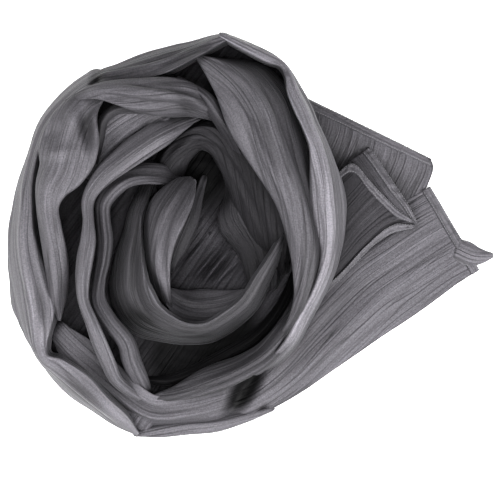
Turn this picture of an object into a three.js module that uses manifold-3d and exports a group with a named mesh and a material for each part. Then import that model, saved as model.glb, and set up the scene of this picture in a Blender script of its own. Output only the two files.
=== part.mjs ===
// A crinkle-chiffon hijab wound into a loose coil and laid down, its two hemmed ends flat at
// one side. Each stretch of cloth that shows is one thin wall, lofted through a short table of
// sections along its length. The turns hidden inside the coil are one rounded solid.
// Millimetres, +Z up, standing on z = 0.
import * as THREE from 'three';
import { mergeVertices } from 'three/addons/utils/BufferGeometryUtils.js';
import Module from 'manifold-3d';

const wasm = await Module();
wasm.setup();

// Driving dimensions
const WALL = 1.2;              // wall of one stretch of folded cloth
const TAIL_WALL = 1.8;         // wall of an end that lies flat, two layers of cloth
const SEAM_GAP = 0.35;         // air between neighbouring stretches
const HEM_WIDTH = 6;           // width of the sewn hem
const HEM_WALL = 0.8;          // how thick a hem strip is
const HEM_GAP = 0.3;           // air between a hem strip and its panel
const HEM_MAX_SHARE = 0.42;    // widest share of a narrow panel that one hem takes
const FLOOR_DEPTH = 60;        // depth cut away below the surface the coil lies on
const FLOOR_SPAN = 900;        // width of that cut
const WELD = 0.004;            // points nearer than this are one

// How a section rounds from its shoulders to its crown and down its legs
const CREST = 0.58;            // how near the crown's height the quarter points stand
const CREST_SWELL = 0.02;      // their extra height, as a share of the visible width
const CREST_LEAN = 0.3;        // how far they follow the crown sideways
const KNEE_DROP = 0.45;        // how far down its leg a knee lies
const KNEE_REACH = 0.15;       // how far out it stands, as a share of the foot

const CLOTH = { color: 0x626168, roughness: 0.62, metalness: 0 };

// Left and right are as seen along a stretch. Its numbers:
//   legs   how far the cloth turns down on its left and right side
//   feet   how far each lower edge stands outside its shoulder
//   skew   where the crown lies, from -1 at the right shoulder to 1 at the left
//   cells  how finely the wall is faceted, along and across
//   rows   one for each section, with the columns
//          x, y, wide          middle of the section in plan, and its visible width
//          left, crown, right  heights of its left shoulder, crown and right shoulder
//   folds  one for each crease or ridge, with the columns
//          from, to            where along the stretch it runs, as shares
//          start, end          its place at each end, millimetres left of the crown
//          high, wide          its height, minus for a trough, and its half width

const STRETCHES = {
  outer_left: {
    legs: [16, 14], feet: [-4, 3], skew: -0.15, cells: [18, 7],
    rows: [
      [-45, -146, 3, 8, 10, 12],
      [-66, -128, 18, 9, 24, 26],
      [-84, -113, 23, 10, 31, 34],
      [-98, -101, 25, 11, 34, 38],
      [-111, -89, 22, 12, 36, 40],
      [-118, -78, 20, 12, 37, 40],
      [-121, -66, 26, 12, 38, 39],
      [-123, -50, 33, 12, 40, 37],
      [-126, -34, 32, 12, 40, 36],
      [-130, -15, 27, 12, 38, 36],
      [-132, 4, 21, 12, 36, 36],
      [-131, 22, 16, 13, 34, 36],
      [-129, 42, 12, 14, 32, 36],
      [-124, 62, 9, 14, 31, 37],
      [-116, 84, 10, 14, 31, 38],
      [-104, 100, 11, 14, 32, 40],
      [-91, 112, 12, 14, 33, 42],
      [-78, 120, 14, 14, 34, 42],
    ],
    folds: [
      [0.02, 0.30, 3, 7, 3.0, 5],
      [0.10, 0.36, -7, -3, -3.0, 4],
      [0.22, 0.62, 6, 3, 2.6, 5],
      [0.30, 0.70, -4, -6, -2.4, 4],
      [0.36, 0.58, -12, -9, 2.4, 4],
      [0.60, 0.98, 2, 5, 2.2, 4],
    ],
  },
  outer_top: {
    legs: [16, 18], feet: [-4, 2], skew: 0.0, cells: [9, 6],
    rows: [
      [-86, 113, 9, 14, 34, 40],
      [-73, 121, 13, 14, 36, 42],
      [-57, 124, 16, 14, 38, 44],
      [-30, 132, 19, 14, 40, 48],
      [-6, 140, 15, 14, 41, 50],
      [8, 146, 12, 16, 45, 47],
      [17, 149.5, 9, 17, 43, 43],
    ],
    folds: [
      [0.10, 0.55, 1, -3, 2.4, 4],
      [0.30, 0.72, 5, 2, -2.4, 4],
      [0.45, 0.80, -3, -1, 2.0, 3],
    ],
  },
  outer_right: {
    legs: [18, 24], feet: [-3, 1], skew: 0.1, cells: [20, 8],
    rows: [
      [18, 151, 7, 16, 42, 44],
      [34, 143, 9, 18, 44, 46],
      [51, 134, 11, 18, 46, 46],
      [63, 125, 12, 18, 48, 50],
      [69, 113, 11, 20, 52, 54],
      [75, 98, 13, 22, 56, 58],
      [82, 81, 14, 26, 60, 60],
      [89, 63, 16, 28, 64, 60],
      [93, 45, 24, 28, 66, 60],
      [95, 26, 28, 28, 66, 60],
      [97, 8, 23, 28, 64, 60],
      [97, -8, 16, 28, 60, 58],
      [94, -24, 13, 26, 56, 56],
      [87, -41, 11, 26, 54, 54],
      [78, -58, 11, 24, 50, 50],
      [69, -75, 11, 22, 46, 46],
      [56, -90, 11, 20, 40, 42],
      [38, -101, 10, 18, 34, 38],
      [16, -110, 8, 16, 28, 34],
    ],
    folds: [
      [0.02, 0.34, 4, 2, 2.2, 3],
      [0.16, 0.58, -2, -6, -3.2, 3.5],
      [0.26, 0.72, 3, 1, 2.6, 4],
      [0.34, 0.62, 9, 8, -2.6, 4],
      [0.42, 0.80, -7, -4, 2.6, 3],
      [0.60, 0.96, 3, 0, -2.8, 3],
    ],
  },
  second_left: {
    legs: [14, 22], feet: [0, -4], skew: 0.2, cells: [16, 9],
    rows: [
      [-80, -92, 18, 22, 25, 26],
      [-87, -81, 20, 24, 27, 27],
      [-94, -66, 20, 28, 31, 28],
      [-99, -52, 17, 34, 38, 32],
      [-102, -38, 16, 38, 45, 38],
      [-104, -24, 17, 42, 49, 44],
      [-106, -8, 18, 44, 52, 48],
      [-109, 8, 17, 44, 54, 52],
      [-111, 24, 17, 44, 54, 52],
      [-108, 38, 25, 44, 55, 54],
      [-101, 50, 35, 44, 54, 56],
      [-97, 61, 42, 44, 53, 57],
      [-94, 73, 42, 44, 52, 58],
      [-91, 84, 37, 44, 51, 58],
      [-87, 93, 29, 44, 49, 56],
      [-81, 101, 20, 42, 46, 50],
      [-72, 108, 10, 40, 42, 44],
    ],
    folds: [
      [0.02, 0.30, 4, 1, 2.4, 4],
      [0.20, 0.62, -3, -5, -3.0, 3.5],
      [0.34, 0.72, 4, 6, 2.6, 4],
      [0.62, 0.98, -10, -7, -7.0, 7],
      [0.58, 0.96, 12, 10, -3.4, 6],
      [0.60, 0.92, 1, 2, 3.0, 5],
    ],
  },
  second_top: {
    legs: [16, 14], feet: [-1, -2], skew: 0.0, cells: [10, 7],
    rows: [
      [-100, 100, 4, 42, 45, 45],
      [-88, 106, 9, 46, 52, 52],
      [-71, 108, 14, 48, 56, 54],
      [-53, 107, 20, 50, 59, 54],
      [-34, 107, 25, 52, 62, 54],
      [-15, 104, 26, 50, 60, 50],
      [0, 99, 23, 46, 54, 46],
      [13, 91, 18, 40, 46, 42],
      [24, 82, 10, 34, 40, 38],
    ],
    folds: [
      [0.15, 0.75, -5, -7, -3.0, 4],
      [0.25, 0.90, 6, -2, 2.6, 4],
      [0.35, 0.95, 9, 5, -2.6, 3.5],
    ],
  },
  upper_slope: {
    legs: [6, 8], feet: [0, -2], skew: -0.5, cells: [6, 6],
    rows: [
      [-79, 52, 10, 38, 40, 42],
      [-71, 66, 24, 38, 40, 46],
      [-60, 79, 32, 38, 40, 47],
      [-45, 88, 30, 38, 41, 46],
      [-30, 94, 22, 38, 42, 44],
    ],
    folds: [
      [0.05, 0.95, -4, -8, 3.4, 3],
      [0.10, 0.95, -10, -14, -3.0, 3],
      [0.20, 0.85, 6, 4, 2.0, 5],
    ],
  },
  upper_roll: {
    legs: [6, 6], feet: [0, 0], skew: 0.0, cells: [7, 3],
    rows: [
      [-75, 58, 4, 42, 46, 44],
      [-73, 74, 7, 44, 51, 46],
      [-70, 88, 8, 44, 52, 46],
      [-60, 96, 8, 44, 51, 46],
      [-46, 96, 7, 42, 49, 45],
      [-32, 93, 5, 42, 46, 44],
    ],
    folds: [],
  },
  left_ridge: {
    legs: [18, 18], feet: [0, -1], skew: 0.0, cells: [18, 6],
    rows: [
      [-44, -117, 5, 24, 28, 26],
      [-58, -105, 9, 30, 38, 34],
      [-68, -90, 12, 36, 46, 42],
      [-76, -75, 13, 42, 52, 48],
      [-82, -60, 13, 46, 56, 52],
      [-87, -45, 11, 50, 58, 54],
      [-88, -30, 11, 50, 60, 54],
      [-88, -15, 12, 50, 60, 54],
      [-86, 0, 12, 50, 60, 54],
      [-84, 13, 11, 50, 58, 52],
      [-82, 26, 9, 50, 56, 50],
      [-77, 37, 11, 50, 56, 50],
      [-68, 48, 15, 48, 57, 52],
      [-56, 58, 18, 46, 57, 54],
      [-41, 69, 19, 44, 56, 54],
      [-27, 78, 18, 42, 52, 50],
      [-13, 86, 14, 38, 44, 44],
    ],
    folds: [
      [0.05, 0.40, 0, 2, -2.2, 2.5],
      [0.30, 0.62, -2, 1, 1.8, 3],
      [0.62, 0.98, 2, -3, 2.2, 4],
      [0.66, 0.98, -5, -8, -2.2, 3],
    ],
  },
  left_ridge_inner: {
    legs: [14, 18], feet: [0, -1], skew: -0.1, cells: [16, 6],
    rows: [
      [-38, -113, 5, 26, 30, 26],
      [-43, -101, 11, 32, 38, 32],
      [-50, -86, 15, 36, 44, 38],
      [-59, -71, 17, 42, 50, 44],
      [-67, -58, 15, 44, 52, 46],
      [-73, -45, 13, 46, 52, 46],
      [-74, -30, 12, 46, 52, 46],
      [-73, -15, 11, 46, 52, 44],
      [-72, 0, 12, 46, 53, 44],
      [-71, 15, 12, 46, 54, 44],
      [-69, 27, 14, 44, 54, 46],
      [-63, 38, 17, 42, 54, 50],
      [-52, 47, 20, 40, 51, 52],
      [-39, 52, 22, 38, 46, 50],
      [-25, 54, 22, 36, 40, 44],
      [-14, 55, 20, 32, 34, 36],
    ],
    folds: [
      [0.08, 0.40, 1, 3, -2.6, 3],
      [0.14, 0.46, -5, -2, 2.2, 3],
      [0.36, 0.66, 1, -1, 2.0, 3],
      [0.66, 0.98, 4, 1, -2.4, 4],
      [0.70, 0.98, -4, -6, 2.4, 3],
    ],
  },
  cup: {
    legs: [6, 10], feet: [2, 2], skew: -0.25, cells: [17, 7],
    rows: [
      [58, 8, 9, 48, 56, 58],
      [59, -4, 11, 48, 58, 60],
      [57, -15, 13, 46, 58, 62],
      [50, -31, 15, 42, 58, 63],
      [39, -44, 16, 38, 57, 64],
      [26, -56, 17, 34, 55, 64],
      [10, -66, 18, 33, 53, 64],
      [-7, -69, 21, 32, 51, 63],
      [-22, -65, 26, 31, 50, 62],
      [-36, -56, 30, 31, 49, 61],
      [-47, -43, 31, 31, 48, 59],
      [-53, -24, 28, 32, 47, 57],
      [-54, -5, 24, 32, 46, 55],
      [-51, 14, 18, 32, 42, 51],
      [-46, 29, 11, 30, 36, 44],
      [-42, 39, 6, 24, 28, 34],
    ],
    folds: [
      [0.00, 0.34, -2, 3, 2.2, 3],
      [0.10, 0.50, 4, 8, -2.2, 4],
      [0.40, 0.85, 6, 2, 2.0, 5],
      [0.50, 0.95, -5, -3, -1.8, 4],
    ],
  },
  cup_inside: {
    legs: [4, 6], feet: [0, 0], skew: 0.0, cells: [7, 4],
    rows: [
      [49, -4, 8, 44, 38, 30],
      [43, -18, 16, 44, 36, 24],
      [32, -31, 20, 44, 34, 22],
      [18, -42, 24, 44, 33, 22],
      [2, -47, 26, 44, 33, 24],
      [-13, -43, 24, 44, 34, 26],
      [-23, -33, 16, 42, 36, 30],
    ],
    folds: [
      [0.05, 0.85, 4, -4, 2.0, 4],
      [0.20, 0.95, -5, -1, 1.6, 3],
    ],
  },
  petal: {
    legs: [12, 22], feet: [0, -2], skew: -0.35, cells: [9, 7],
    rows: [
      [-21, -51, 4, 36, 40, 40],
      [-26, -38, 11, 38, 50, 50],
      [-30, -19, 19, 40, 57, 60],
      [-29, 0, 25, 40, 60, 64],
      [-24, 18, 31, 38, 59, 64],
      [-17, 33, 28, 34, 53, 58],
      [-10, 43, 17, 30, 44, 50],
    ],
    folds: [
      [0.02, 0.55, 2, 6, 2.4, 4],
      [0.30, 0.95, -1, 3, -2.4, 4],
      [0.25, 0.95, 9, 10, 2.0, 4],
    ],
  },
  petal_inside: {
    legs: [4, 16], feet: [0, -3], skew: 0.0, cells: [6, 3],
    rows: [
      [-18, -17, 4, 50, 48, 46],
      [-12, -2, 11, 54, 52, 48],
      [-5, 15, 10, 54, 52, 48],
      [-1, 30, 7, 50, 48, 44],
      [2, 40, 5, 44, 42, 40],
    ],
    folds: [],
  },
  arch: {
    legs: [10, 14], feet: [4, -3], skew: 0.0, cells: [11, 7],
    rows: [
      [-20, 38, 18, 30, 28, 24],
      [-20, 52, 20, 38, 38, 32],
      [-13, 66, 19, 44, 44, 38],
      [0, 76, 17, 46, 48, 42],
      [16, 70, 20, 50, 48, 42],
      [30, 52, 26, 54, 48, 40],
      [41, 30, 31, 58, 50, 40],
      [51, 8, 28, 58, 52, 42],
      [56, -10, 16, 52, 50, 46],
    ],
    folds: [
      [0.05, 0.50, 3, 0, 2.2, 4],
      [0.25, 0.80, -5, -4, -2.0, 4],
      [0.50, 0.98, 6, 2, 2.2, 5],
    ],
  },
  arch_lower: {
    legs: [6, 10], feet: [2, -3], skew: 0.0, cells: [7, 4],
    rows: [
      [14, 60, 8, 36, 32, 26],
      [17, 44, 12, 36, 30, 24],
      [21, 24, 18, 38, 32, 24],
      [30, 4, 22, 42, 34, 24],
      [37, -14, 20, 44, 36, 26],
    ],
    folds: [
      [0.20, 0.95, 2, -2, 1.8, 4],
    ],
  },
  right_band: {
    legs: [24, 16], feet: [-2, -4], skew: 0.3, cells: [17, 10],
    rows: [
      [0, 134, 5, 38, 40, 38],
      [11, 126, 16, 42, 46, 44],
      [27, 111, 32, 48, 56, 52],
      [40, 92, 42, 54, 64, 58],
      [49, 73, 39, 58, 68, 60],
      [59, 52, 32, 60, 70, 62],
      [68, 32, 27, 60, 70, 62],
      [74, 11, 24, 60, 70, 62],
      [77, -8, 21, 60, 68, 60],
      [77, -26, 16, 56, 64, 58],
      [74, -45, 10, 50, 58, 54],
      [67, -65, 9, 44, 50, 48],
      [54, -84, 10, 36, 44, 42],
    ],
    folds: [
      [0.05, 0.60, -10, -3, -3.0, 4],
      [0.12, 0.78, -16, -6, 2.6, 3.5],
      [0.08, 0.70, 4, 3, 2.4, 5],
      [0.30, 0.92, -1, 2, -2.4, 3.5],
      [0.16, 0.62, 14, 9, -2.6, 5],
      [0.52, 0.95, 6, 4, 2.2, 3],
    ],
  },
  bottom_band: {
    legs: [14, 18], feet: [-1, -3], skew: -0.2, cells: [10, 7],
    rows: [
      [67, -60, 10, 44, 49, 50],
      [59, -72, 19, 38, 46, 50],
      [48, -83, 25, 34, 44, 50],
      [34, -92, 27, 32, 44, 50],
      [15, -100, 24, 30, 42, 48],
      [-4, -109, 18, 28, 40, 44],
      [-21, -115, 12, 26, 36, 38],
      [-38, -118, 6, 24, 28, 30],
    ],
    folds: [
      [0.04, 0.90, 4, 1, -2.8, 3.5],
      [0.12, 0.86, -3, -1, 2.4, 3],
      [0.20, 0.95, 8, 4, 2.4, 3],
    ],
  },
  groove_fold: {
    legs: [4, 4], feet: [0, 0], skew: 0.0, cells: [9, 3],
    rows: [
      [-36, -103, 5, 28, 31, 28],
      [-22, -103, 9, 30, 35, 31],
      [-8, -95, 13, 31, 38, 32],
      [11, -87, 15, 32, 40, 33],
      [30, -76, 15, 33, 41, 34],
      [47, -58, 13, 33, 42, 36],
      [60, -38, 11, 33, 43, 37],
      [66, -20, 8, 33, 41, 36],
    ],
    folds: [
      [0.10, 0.90, 2, -2, -2.2, 3],
    ],
  },
  tail_panel: {
    legs: [2, 2], feet: [0, 0], skew: -0.2, cells: [17, 9],
    rows: [
      [190, 11, 67, 1.6, 2.0, 1.8],
      [168, -4, 71, 1.8, 4, 2.4],
      [148, -18, 73, 2, 6, 3],
      [127, -32, 73, 3, 9, 6],
      [109, -49, 68, 4, 13, 12],
      [84, -73, 57, 6, 18, 18],
      [62, -95, 46, 7, 22, 21],
      [38, -112, 38, 8, 24, 24],
      [12, -120, 34, 8, 24, 26],
      [-14, -123, 32, 8, 24, 26],
      [-34, -123, 30, 8, 22, 27],
      [-50, -117, 28, 9, 24, 29],
      [-66, -105, 24, 16, 29, 31],
      [-80, -91, 14, 24, 31, 32],
      [-89, -79, 4, 28, 31, 31],
    ],
    folds: [
      [0.02, 0.55, 8, 6, -1.6, 7],
      [0.06, 0.62, -10, -6, 1.6, 8],
      [0.45, 0.70, 16, 12, -4.0, 6],
      [0.48, 0.78, 4, 6, 3.0, 6],
      [0.66, 0.98, 2, 4, -2.6, 4],
      [0.70, 0.98, 8, 10, 2.4, 4],
    ],
  },
  tail_corner: {
    legs: [1, 1], feet: [0, 0], skew: 0.0, cells: [4, 3],
    rows: [
      [201, -9, 12, 2.4, 3.4, 2.4],
      [208, -9, 10, 2.4, 4.6, 2.6],
      [214, -9, 7, 2.6, 4.8, 2.6],
      [218, -9, 3, 2.6, 3.6, 2.6],
    ],
    folds: [],
  },
  bottom_edge: {
    legs: [9, 6], feet: [-2, 1], skew: 0.0, cells: [8, 4],
    rows: [
      [-44, -144, 5, 6, 8, 8],
      [-30, -141, 12, 6, 12, 11],
      [-10, -138, 14, 6, 13, 11],
      [12, -136, 14, 6, 13, 11],
      [34, -131, 10, 6, 12, 10],
      [52, -126, 5, 5, 8, 8],
    ],
    folds: [
      [0.05, 0.85, 1, -2, 1.6, 2.5],
    ],
  },
};

// Panels lie nearly flat. Row columns:
//   ax, ay, az, bx, by, bz   the left and the right end of a line across the panel
//   rise                     how far the panel bulges between them
const PANELS = {
  tail_back: {
    cells: [7, 6],
    rows: [
      [173, 61, 1.6, 76, 108, 6, 1],
      [175, 54, 1.6, 74, 98, 6, 2],
      [172, 44, 1.6, 72, 84, 5, 2],
      [165, 30, 1.4, 70, 66, 4, 2],
      [158, 14, 1.2, 70, 46, 3, 1],
    ],
  },
  tail_mid: {
    cells: [6, 3],
    rows: [
      [127, 70, 11, 108, 58, 14, 1],
      [135, 58, 11, 116, 50, 14, 2],
      [145, 42, 10, 128, 39, 12, 2],
      [155, 27, 9, 142, 26, 10, 2],
      [163, 12, 8, 157, 12, 8, 0],
    ],
  },
  tail_flap: {
    cells: [7, 6],
    rows: [
      [160, 9, 10, 158, 15, 12, 0],
      [139, 3, 11, 142, 28, 14, 2],
      [120, -13, 14, 127, 43, 17, 4],
      [101, -33, 18, 112, 58, 20, 6],
      [84, -48, 22, 94, 68, 24, 8],
    ],
  },
};

// Hem columns: its node, the panel it lies on, and the side of the panel that it follows.
const HEMS = [
  ['hem_back', 'tail_back', 'start'],
  ['hem_front', 'tail_panel', 'start'],
  ['hem_mid', 'tail_mid', 'left'],
  ['hem_flap_upper', 'tail_flap', 'right'],
  ['hem_flap_lower', 'tail_flap', 'left'],
];

// The hidden turns: the rim of the solid in plan, and its height from the eye out to the rim.
const BASE_RIM = [
  [-45, -140], [-72, -120], [-98, -98], [-115, -76], [-124, -46], [-126, -15], [-122, 15],
  [-114, 50], [-104, 82], [-86, 105], [-55, 117], [-20, 128], [18, 143], [42, 132], [60, 114],
  [74, 92], [87, 62], [97, 32], [97, 2], [90, -24], [75, -54], [55, -84], [28, -108], [-8, -124],
];
const BASE_EYE = [8, 5];
const BASE_MIDDLE_HEIGHT = 9;
// Columns: share of the way from the eye to the rim, height.
const BASE_RINGS = [[0.14, 9.5], [0.28, 14], [0.42, 25], [0.6, 29], [0.8, 26], [0.93, 16], [1, 8]];
const BASE_FOOT_SHARE = 0.985;
const BASE_RADIUS = 130;
const BASE_SIDES = 32;

// From the top of the heap down. A stretch is cut to clear every one named before it.
const LAYERS = [
  'outer_right', 'right_band', 'second_top', 'bottom_band', 'cup', 'left_ridge', 'petal',
  'petal_inside', 'arch', 'left_ridge_inner', 'second_left', 'upper_roll', 'upper_slope',
  'cup_inside', 'arch_lower', 'outer_top', 'outer_left', 'groove_fold', 'hem_flap_upper',
  'hem_flap_lower', 'tail_flap', 'hem_mid', 'tail_mid', 'hem_front', 'tail_corner',
  'tail_panel', 'bottom_edge', 'hem_back', 'tail_back',
];

// One coordinate of a Catmull-Rom curve through four values.
function blend(a, b, c, d, f) {
  return 0.5 * (2 * b + (c - a) * f + (2 * a - 5 * b + 4 * c - d) * f * f
    + (3 * b - a - 3 * c + d) * f * f * f);
}

// The row at share t of a table, each column on a smooth curve through its rows.
function rowAt(rows, t) {
  const last = rows.length - 1;
  const place = Math.min(Math.max(t, 0), 1) * last;
  const i = Math.min(Math.floor(place), last - 1);
  const f = place - i;
  return rows[i].map((value, k) => {
    const next = rows[i + 1][k];
    const before = i > 0 ? rows[i - 1][k] : 2 * value - next;
    const after = i + 2 <= last ? rows[i + 2][k] : 2 * next - value;
    return blend(before, value, next, after, f);
  });
}

// Points of a table's smooth curve, evenly spaced along the path of its first two columns, and
// how far each lies from the middle row of the table.
function evenRows(rows, count, steps) {
  const fine = Array.from({ length: steps + 1 }, (_, k) => rowAt(rows, k / steps));
  const run = [0];
  for (let k = 1; k <= steps; k += 1) {
    run.push(run[k - 1] + Math.hypot(fine[k][0] - fine[k - 1][0], fine[k][1] - fine[k - 1][1]));
  }
  const even = [];
  const beforeMiddle = [];
  let k = 0;
  for (let i = 0; i < count; i += 1) {
    const at = (run[steps] * i) / (count - 1);
    while (k < steps - 1 && run[k + 1] < at) k += 1;
    const f = Math.min((at - run[k]) / (run[k + 1] - run[k]), 1);
    even.push(fine[k].map((value, c) => value + (fine[k + 1][c] - value) * f));
    beforeMiddle.push(run[steps / 2] - at);
  }
  return { even, beforeMiddle };
}

// Nine points across a stretch, from its left foot to its right foot: [offset, height].
function sectionPoints([, , wide, left, crown, right], { legs, feet, skew }) {
  const half = wide / 2;
  const crest = (shoulder) => shoulder + (crown - shoulder) * CREST + wide * CREST_SWELL;
  return [
    [half + feet[0], left - legs[0]],
    [half + feet[0] * KNEE_REACH, left - legs[0] * KNEE_DROP],
    [half, left],
    [half * (0.5 + skew * CREST_LEAN), crest(left)],
    [half * skew, crown],
    [-half * (0.5 - skew * CREST_LEAN), crest(right)],
    [-half, right],
    [-half - feet[1] * KNEE_REACH, right - legs[1] * KNEE_DROP],
    [-half - feet[1], right - legs[1]],
  ];
}

// The directions of a path in plan, smoothed so that neighbouring sections never cross.
function headings(rows) {
  const SMOOTHINGS = 2;
  const last = rows.length - 1;
  let headingsNow = rows.map((_, i) => {
    const [ax, ay] = rows[Math.max(i - 1, 0)];
    const [bx, by] = rows[Math.min(i + 1, last)];
    return new THREE.Vector2(bx - ax, by - ay).normalize();
  });
  for (let pass = 0; pass < SMOOTHINGS; pass += 1) {
    headingsNow = headingsNow.map((heading, i, all) => {
      if (i === 0 || i === last) return heading;
      return all[i - 1].clone().add(all[i + 1]).addScaledVector(heading, 2).normalize();
    });
  }
  return headingsNow;
}

// How far a stretch's folds lift or sink it at share u along and s millimetres left of the crown.
function foldHeight(folds, u, s) {
  let height = 0;
  for (const [from, to, start, end, high, wide] of folds) {
    const k = (u - from) / (to - from);
    if (k > 0 && k < 1) {
      const x = (s - (start + (end - start) * k)) / wide;
      if (Math.abs(x) < 1) {
        height += high * Math.sin(Math.PI * k) ** 0.8 * 0.5 * (1 + Math.cos(Math.PI * x));
      }
    }
  }
  return height;
}

// Unit normals of a grid of points, on the side that faces up at the crown.
function gridNormals(grid) {
  const along = grid.length - 1;
  const across = grid[0].length - 1;
  return grid.map((line, i) => line.map((_, j) => {
    const forward = grid[Math.min(i + 1, along)][j].clone().sub(grid[Math.max(i - 1, 0)][j]);
    const right = line[Math.min(j + 1, across)].clone().sub(line[Math.max(j - 1, 0)]);
    return right.cross(forward).normalize();
  }));
}

// The outer face of a stretch as a grid of points.
function stretchGrid(stretch) {
  const [along, across] = stretch.cells;
  const ALONG_STEPS = 600;
  const ACROSS_STEPS = 160;
  const { even: rows } = evenRows(stretch.rows, along + 1, ALONG_STEPS);
  const directions = headings(rows);
  const places = [];
  const smooth = rows.map((row, i) => {
    const { x: forwardX, y: forwardY } = directions[i];
    const { even, beforeMiddle } = evenRows(sectionPoints(row, stretch), across + 1, ACROSS_STEPS);
    places.push(beforeMiddle);
    return even.map(([offset, height]) => new THREE.Vector3(
      row[0] - forwardY * offset, row[1] + forwardX * offset, height));
  });
  const normals = gridNormals(smooth);
  return smooth.map((line, i) => line.map((point, j) => point.clone().addScaledVector(
    normals[i][j], foldHeight(stretch.folds, i / along, places[i][j]))));
}

// The upper face of a panel as a grid of points, from its left ends to its right ends.
function panelGrid({ rows, cells }) {
  const [along, across] = cells;
  return Array.from({ length: along + 1 }, (_, i) => {
    const [ax, ay, az, bx, by, bz, rise] = rowAt(rows, i / along);
    const left = new THREE.Vector3(ax, ay, az);
    const right = new THREE.Vector3(bx, by, bz);
    return Array.from({ length: across + 1 }, (__, j) => {
      const point = left.clone().lerp(right, j / across);
      point.z += rise * Math.sin((Math.PI * j) / across);
      return point;
    });
  });
}

// The points of a panel within a hem's width of one side: its start, its left or its right.
function hemGrid(grid, side) {
  const PARTS = [0, 0.5, 1];
  const across = grid[0].length - 1;
  if (side === 'start') {
    return PARTS.map((part) => grid[0].map((first, j) => first.clone().lerp(
      grid[1][j], (part * HEM_WIDTH) / first.distanceTo(grid[1][j]))));
  }
  return grid.map((line) => {
    const share = Math.min(HEM_WIDTH / line[0].distanceTo(line[across]), HEM_MAX_SHARE);
    return PARTS.map((part) => {
      const place = across * (side === 'left' ? part * share : 1 - (1 - part) * share);
      const j = Math.min(Math.floor(place), across - 1);
      return line[j].clone().lerp(line[j + 1], place - j);
    });
  });
}

// A closed shell between two grids of the same size, the first one the outer face.
function shellGeometry(outer, inner) {
  const along = outer.length - 1;
  const across = outer[0].length - 1;
  const columns = across + 1;
  const lower = (along + 1) * columns;
  const index = [];
  const quad = (a, b, c, d) => index.push(a, b, c, a, c, d);
  for (let i = 0; i < along; i += 1) {
    for (let j = 0; j < across; j += 1) {
      const a = i * columns + j;
      quad(a, a + 1, a + columns + 1, a + columns);
      quad(a + lower, a + lower + columns, a + lower + columns + 1, a + lower + 1);
    }
  }
  for (let j = 0; j < across; j += 1) {
    const end = along * columns + j;
    quad(j + 1, j, j + lower, j + 1 + lower);
    quad(end, end + 1, end + 1 + lower, end + lower);
  }
  for (let i = 0; i < along; i += 1) {
    const a = i * columns;
    const b = a + across;
    quad(a, a + columns, a + columns + lower, a + lower);
    quad(b + columns, b, b + lower, b + columns + lower);
  }
  const geometry = new THREE.BufferGeometry().setFromPoints([...outer.flat(), ...inner.flat()]);
  geometry.setIndex(index);
  return geometry;
}

function moved(grid, distance) {
  const normals = gridNormals(grid);
  return grid.map((line, i) => line.map(
    (point, j) => point.clone().addScaledVector(normals[i][j], distance)));
}

// The wall of a piece, from out above its grid to inward below it.
function wallGeometry(grid, out, inward) {
  return shellGeometry(moved(grid, out), moved(grid, -inward));
}

// The grid with its four borders taken outwards by a reach.
function widened(grid, reach) {
  const along = grid.length - 1;
  const across = grid[0].length - 1;
  const wide = grid.map((line) => line.map((point) => point.clone()));
  const push = (edge, inner) => edge.clone().sub(inner).normalize().multiplyScalar(reach);
  for (let j = 0; j <= across; j += 1) {
    wide[0][j].add(push(grid[0][j], grid[1][j]));
    wide[along][j].add(push(grid[along][j], grid[along - 1][j]));
  }
  for (let i = 0; i <= along; i += 1) {
    wide[i][0].add(push(grid[i][0], grid[i][1]));
    wide[i][across].add(push(grid[i][across], grid[i][across - 1]));
  }
  return wide;
}

// What the pieces below must keep out of: the wall and a gap round it, and with a deep cut
// everything under it as well.
function clearSolid(grid, { out, wall, deep }) {
  const wide = widened(grid, SEAM_GAP);
  const top = moved(wide, out + SEAM_GAP);
  const shell = solidOf(shellGeometry(top, moved(wide, out - wall - SEAM_GAP)));
  if (!deep) return shell;
  const below = top.map((line) => line.map(({ x, y }) => new THREE.Vector3(x, y, -FLOOR_DEPTH / 2)));
  return shell.add(solidOf(shellGeometry(top, below)));
}

// The hidden turns: a dished solid with a rounded top and a flat underside, or with a reach the
// space that the pieces round it must keep out of.
function baseGeometry(reach = 0) {
  const turns = BASE_RIM.length;
  const rim = Array.from({ length: BASE_SIDES }, (_, k) => {
    const place = (k * turns) / BASE_SIDES;
    const i = Math.floor(place);
    const [before, from, to, after] = [-1, 0, 1, 2].map((n) => BASE_RIM[(i + n + turns) % turns]);
    return from.map((value, c) => blend(before[c], value, to[c], after[c], place - i));
  });
  const [eyeX, eyeY] = BASE_EYE;
  const ring = (share, height) => rim.map(([x, y]) => new THREE.Vector3(
    eyeX + (x - eyeX) * share, eyeY + (y - eyeY) * share, height));
  const extra = reach / BASE_RADIUS;
  const underside = reach > 0 ? -FLOOR_DEPTH / 2 : 0;
  const rings = BASE_RINGS.map(([share, height]) => ring(share + extra, height + reach));
  rings.push(ring(BASE_FOOT_SHARE + extra, underside));
  const points = [
    new THREE.Vector3(eyeX, eyeY, BASE_MIDDLE_HEIGHT + reach),
    ...rings.flat(),
    new THREE.Vector3(eyeX, eyeY, underside),
  ];
  const at = (r, k) => 1 + r * BASE_SIDES + (k % BASE_SIDES);
  const lowest = rings.length - 1;
  const index = [];
  for (let k = 0; k < BASE_SIDES; k += 1) {
    index.push(0, at(0, k + 1), at(0, k));
    index.push(points.length - 1, at(lowest, k), at(lowest, k + 1));
    for (let r = 0; r < lowest; r += 1) {
      index.push(at(r, k), at(r, k + 1), at(r + 1, k + 1));
      index.push(at(r, k), at(r + 1, k + 1), at(r + 1, k));
    }
  }
  const geometry = new THREE.BufferGeometry().setFromPoints(points);
  geometry.setIndex(index);
  return geometry;
}

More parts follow.
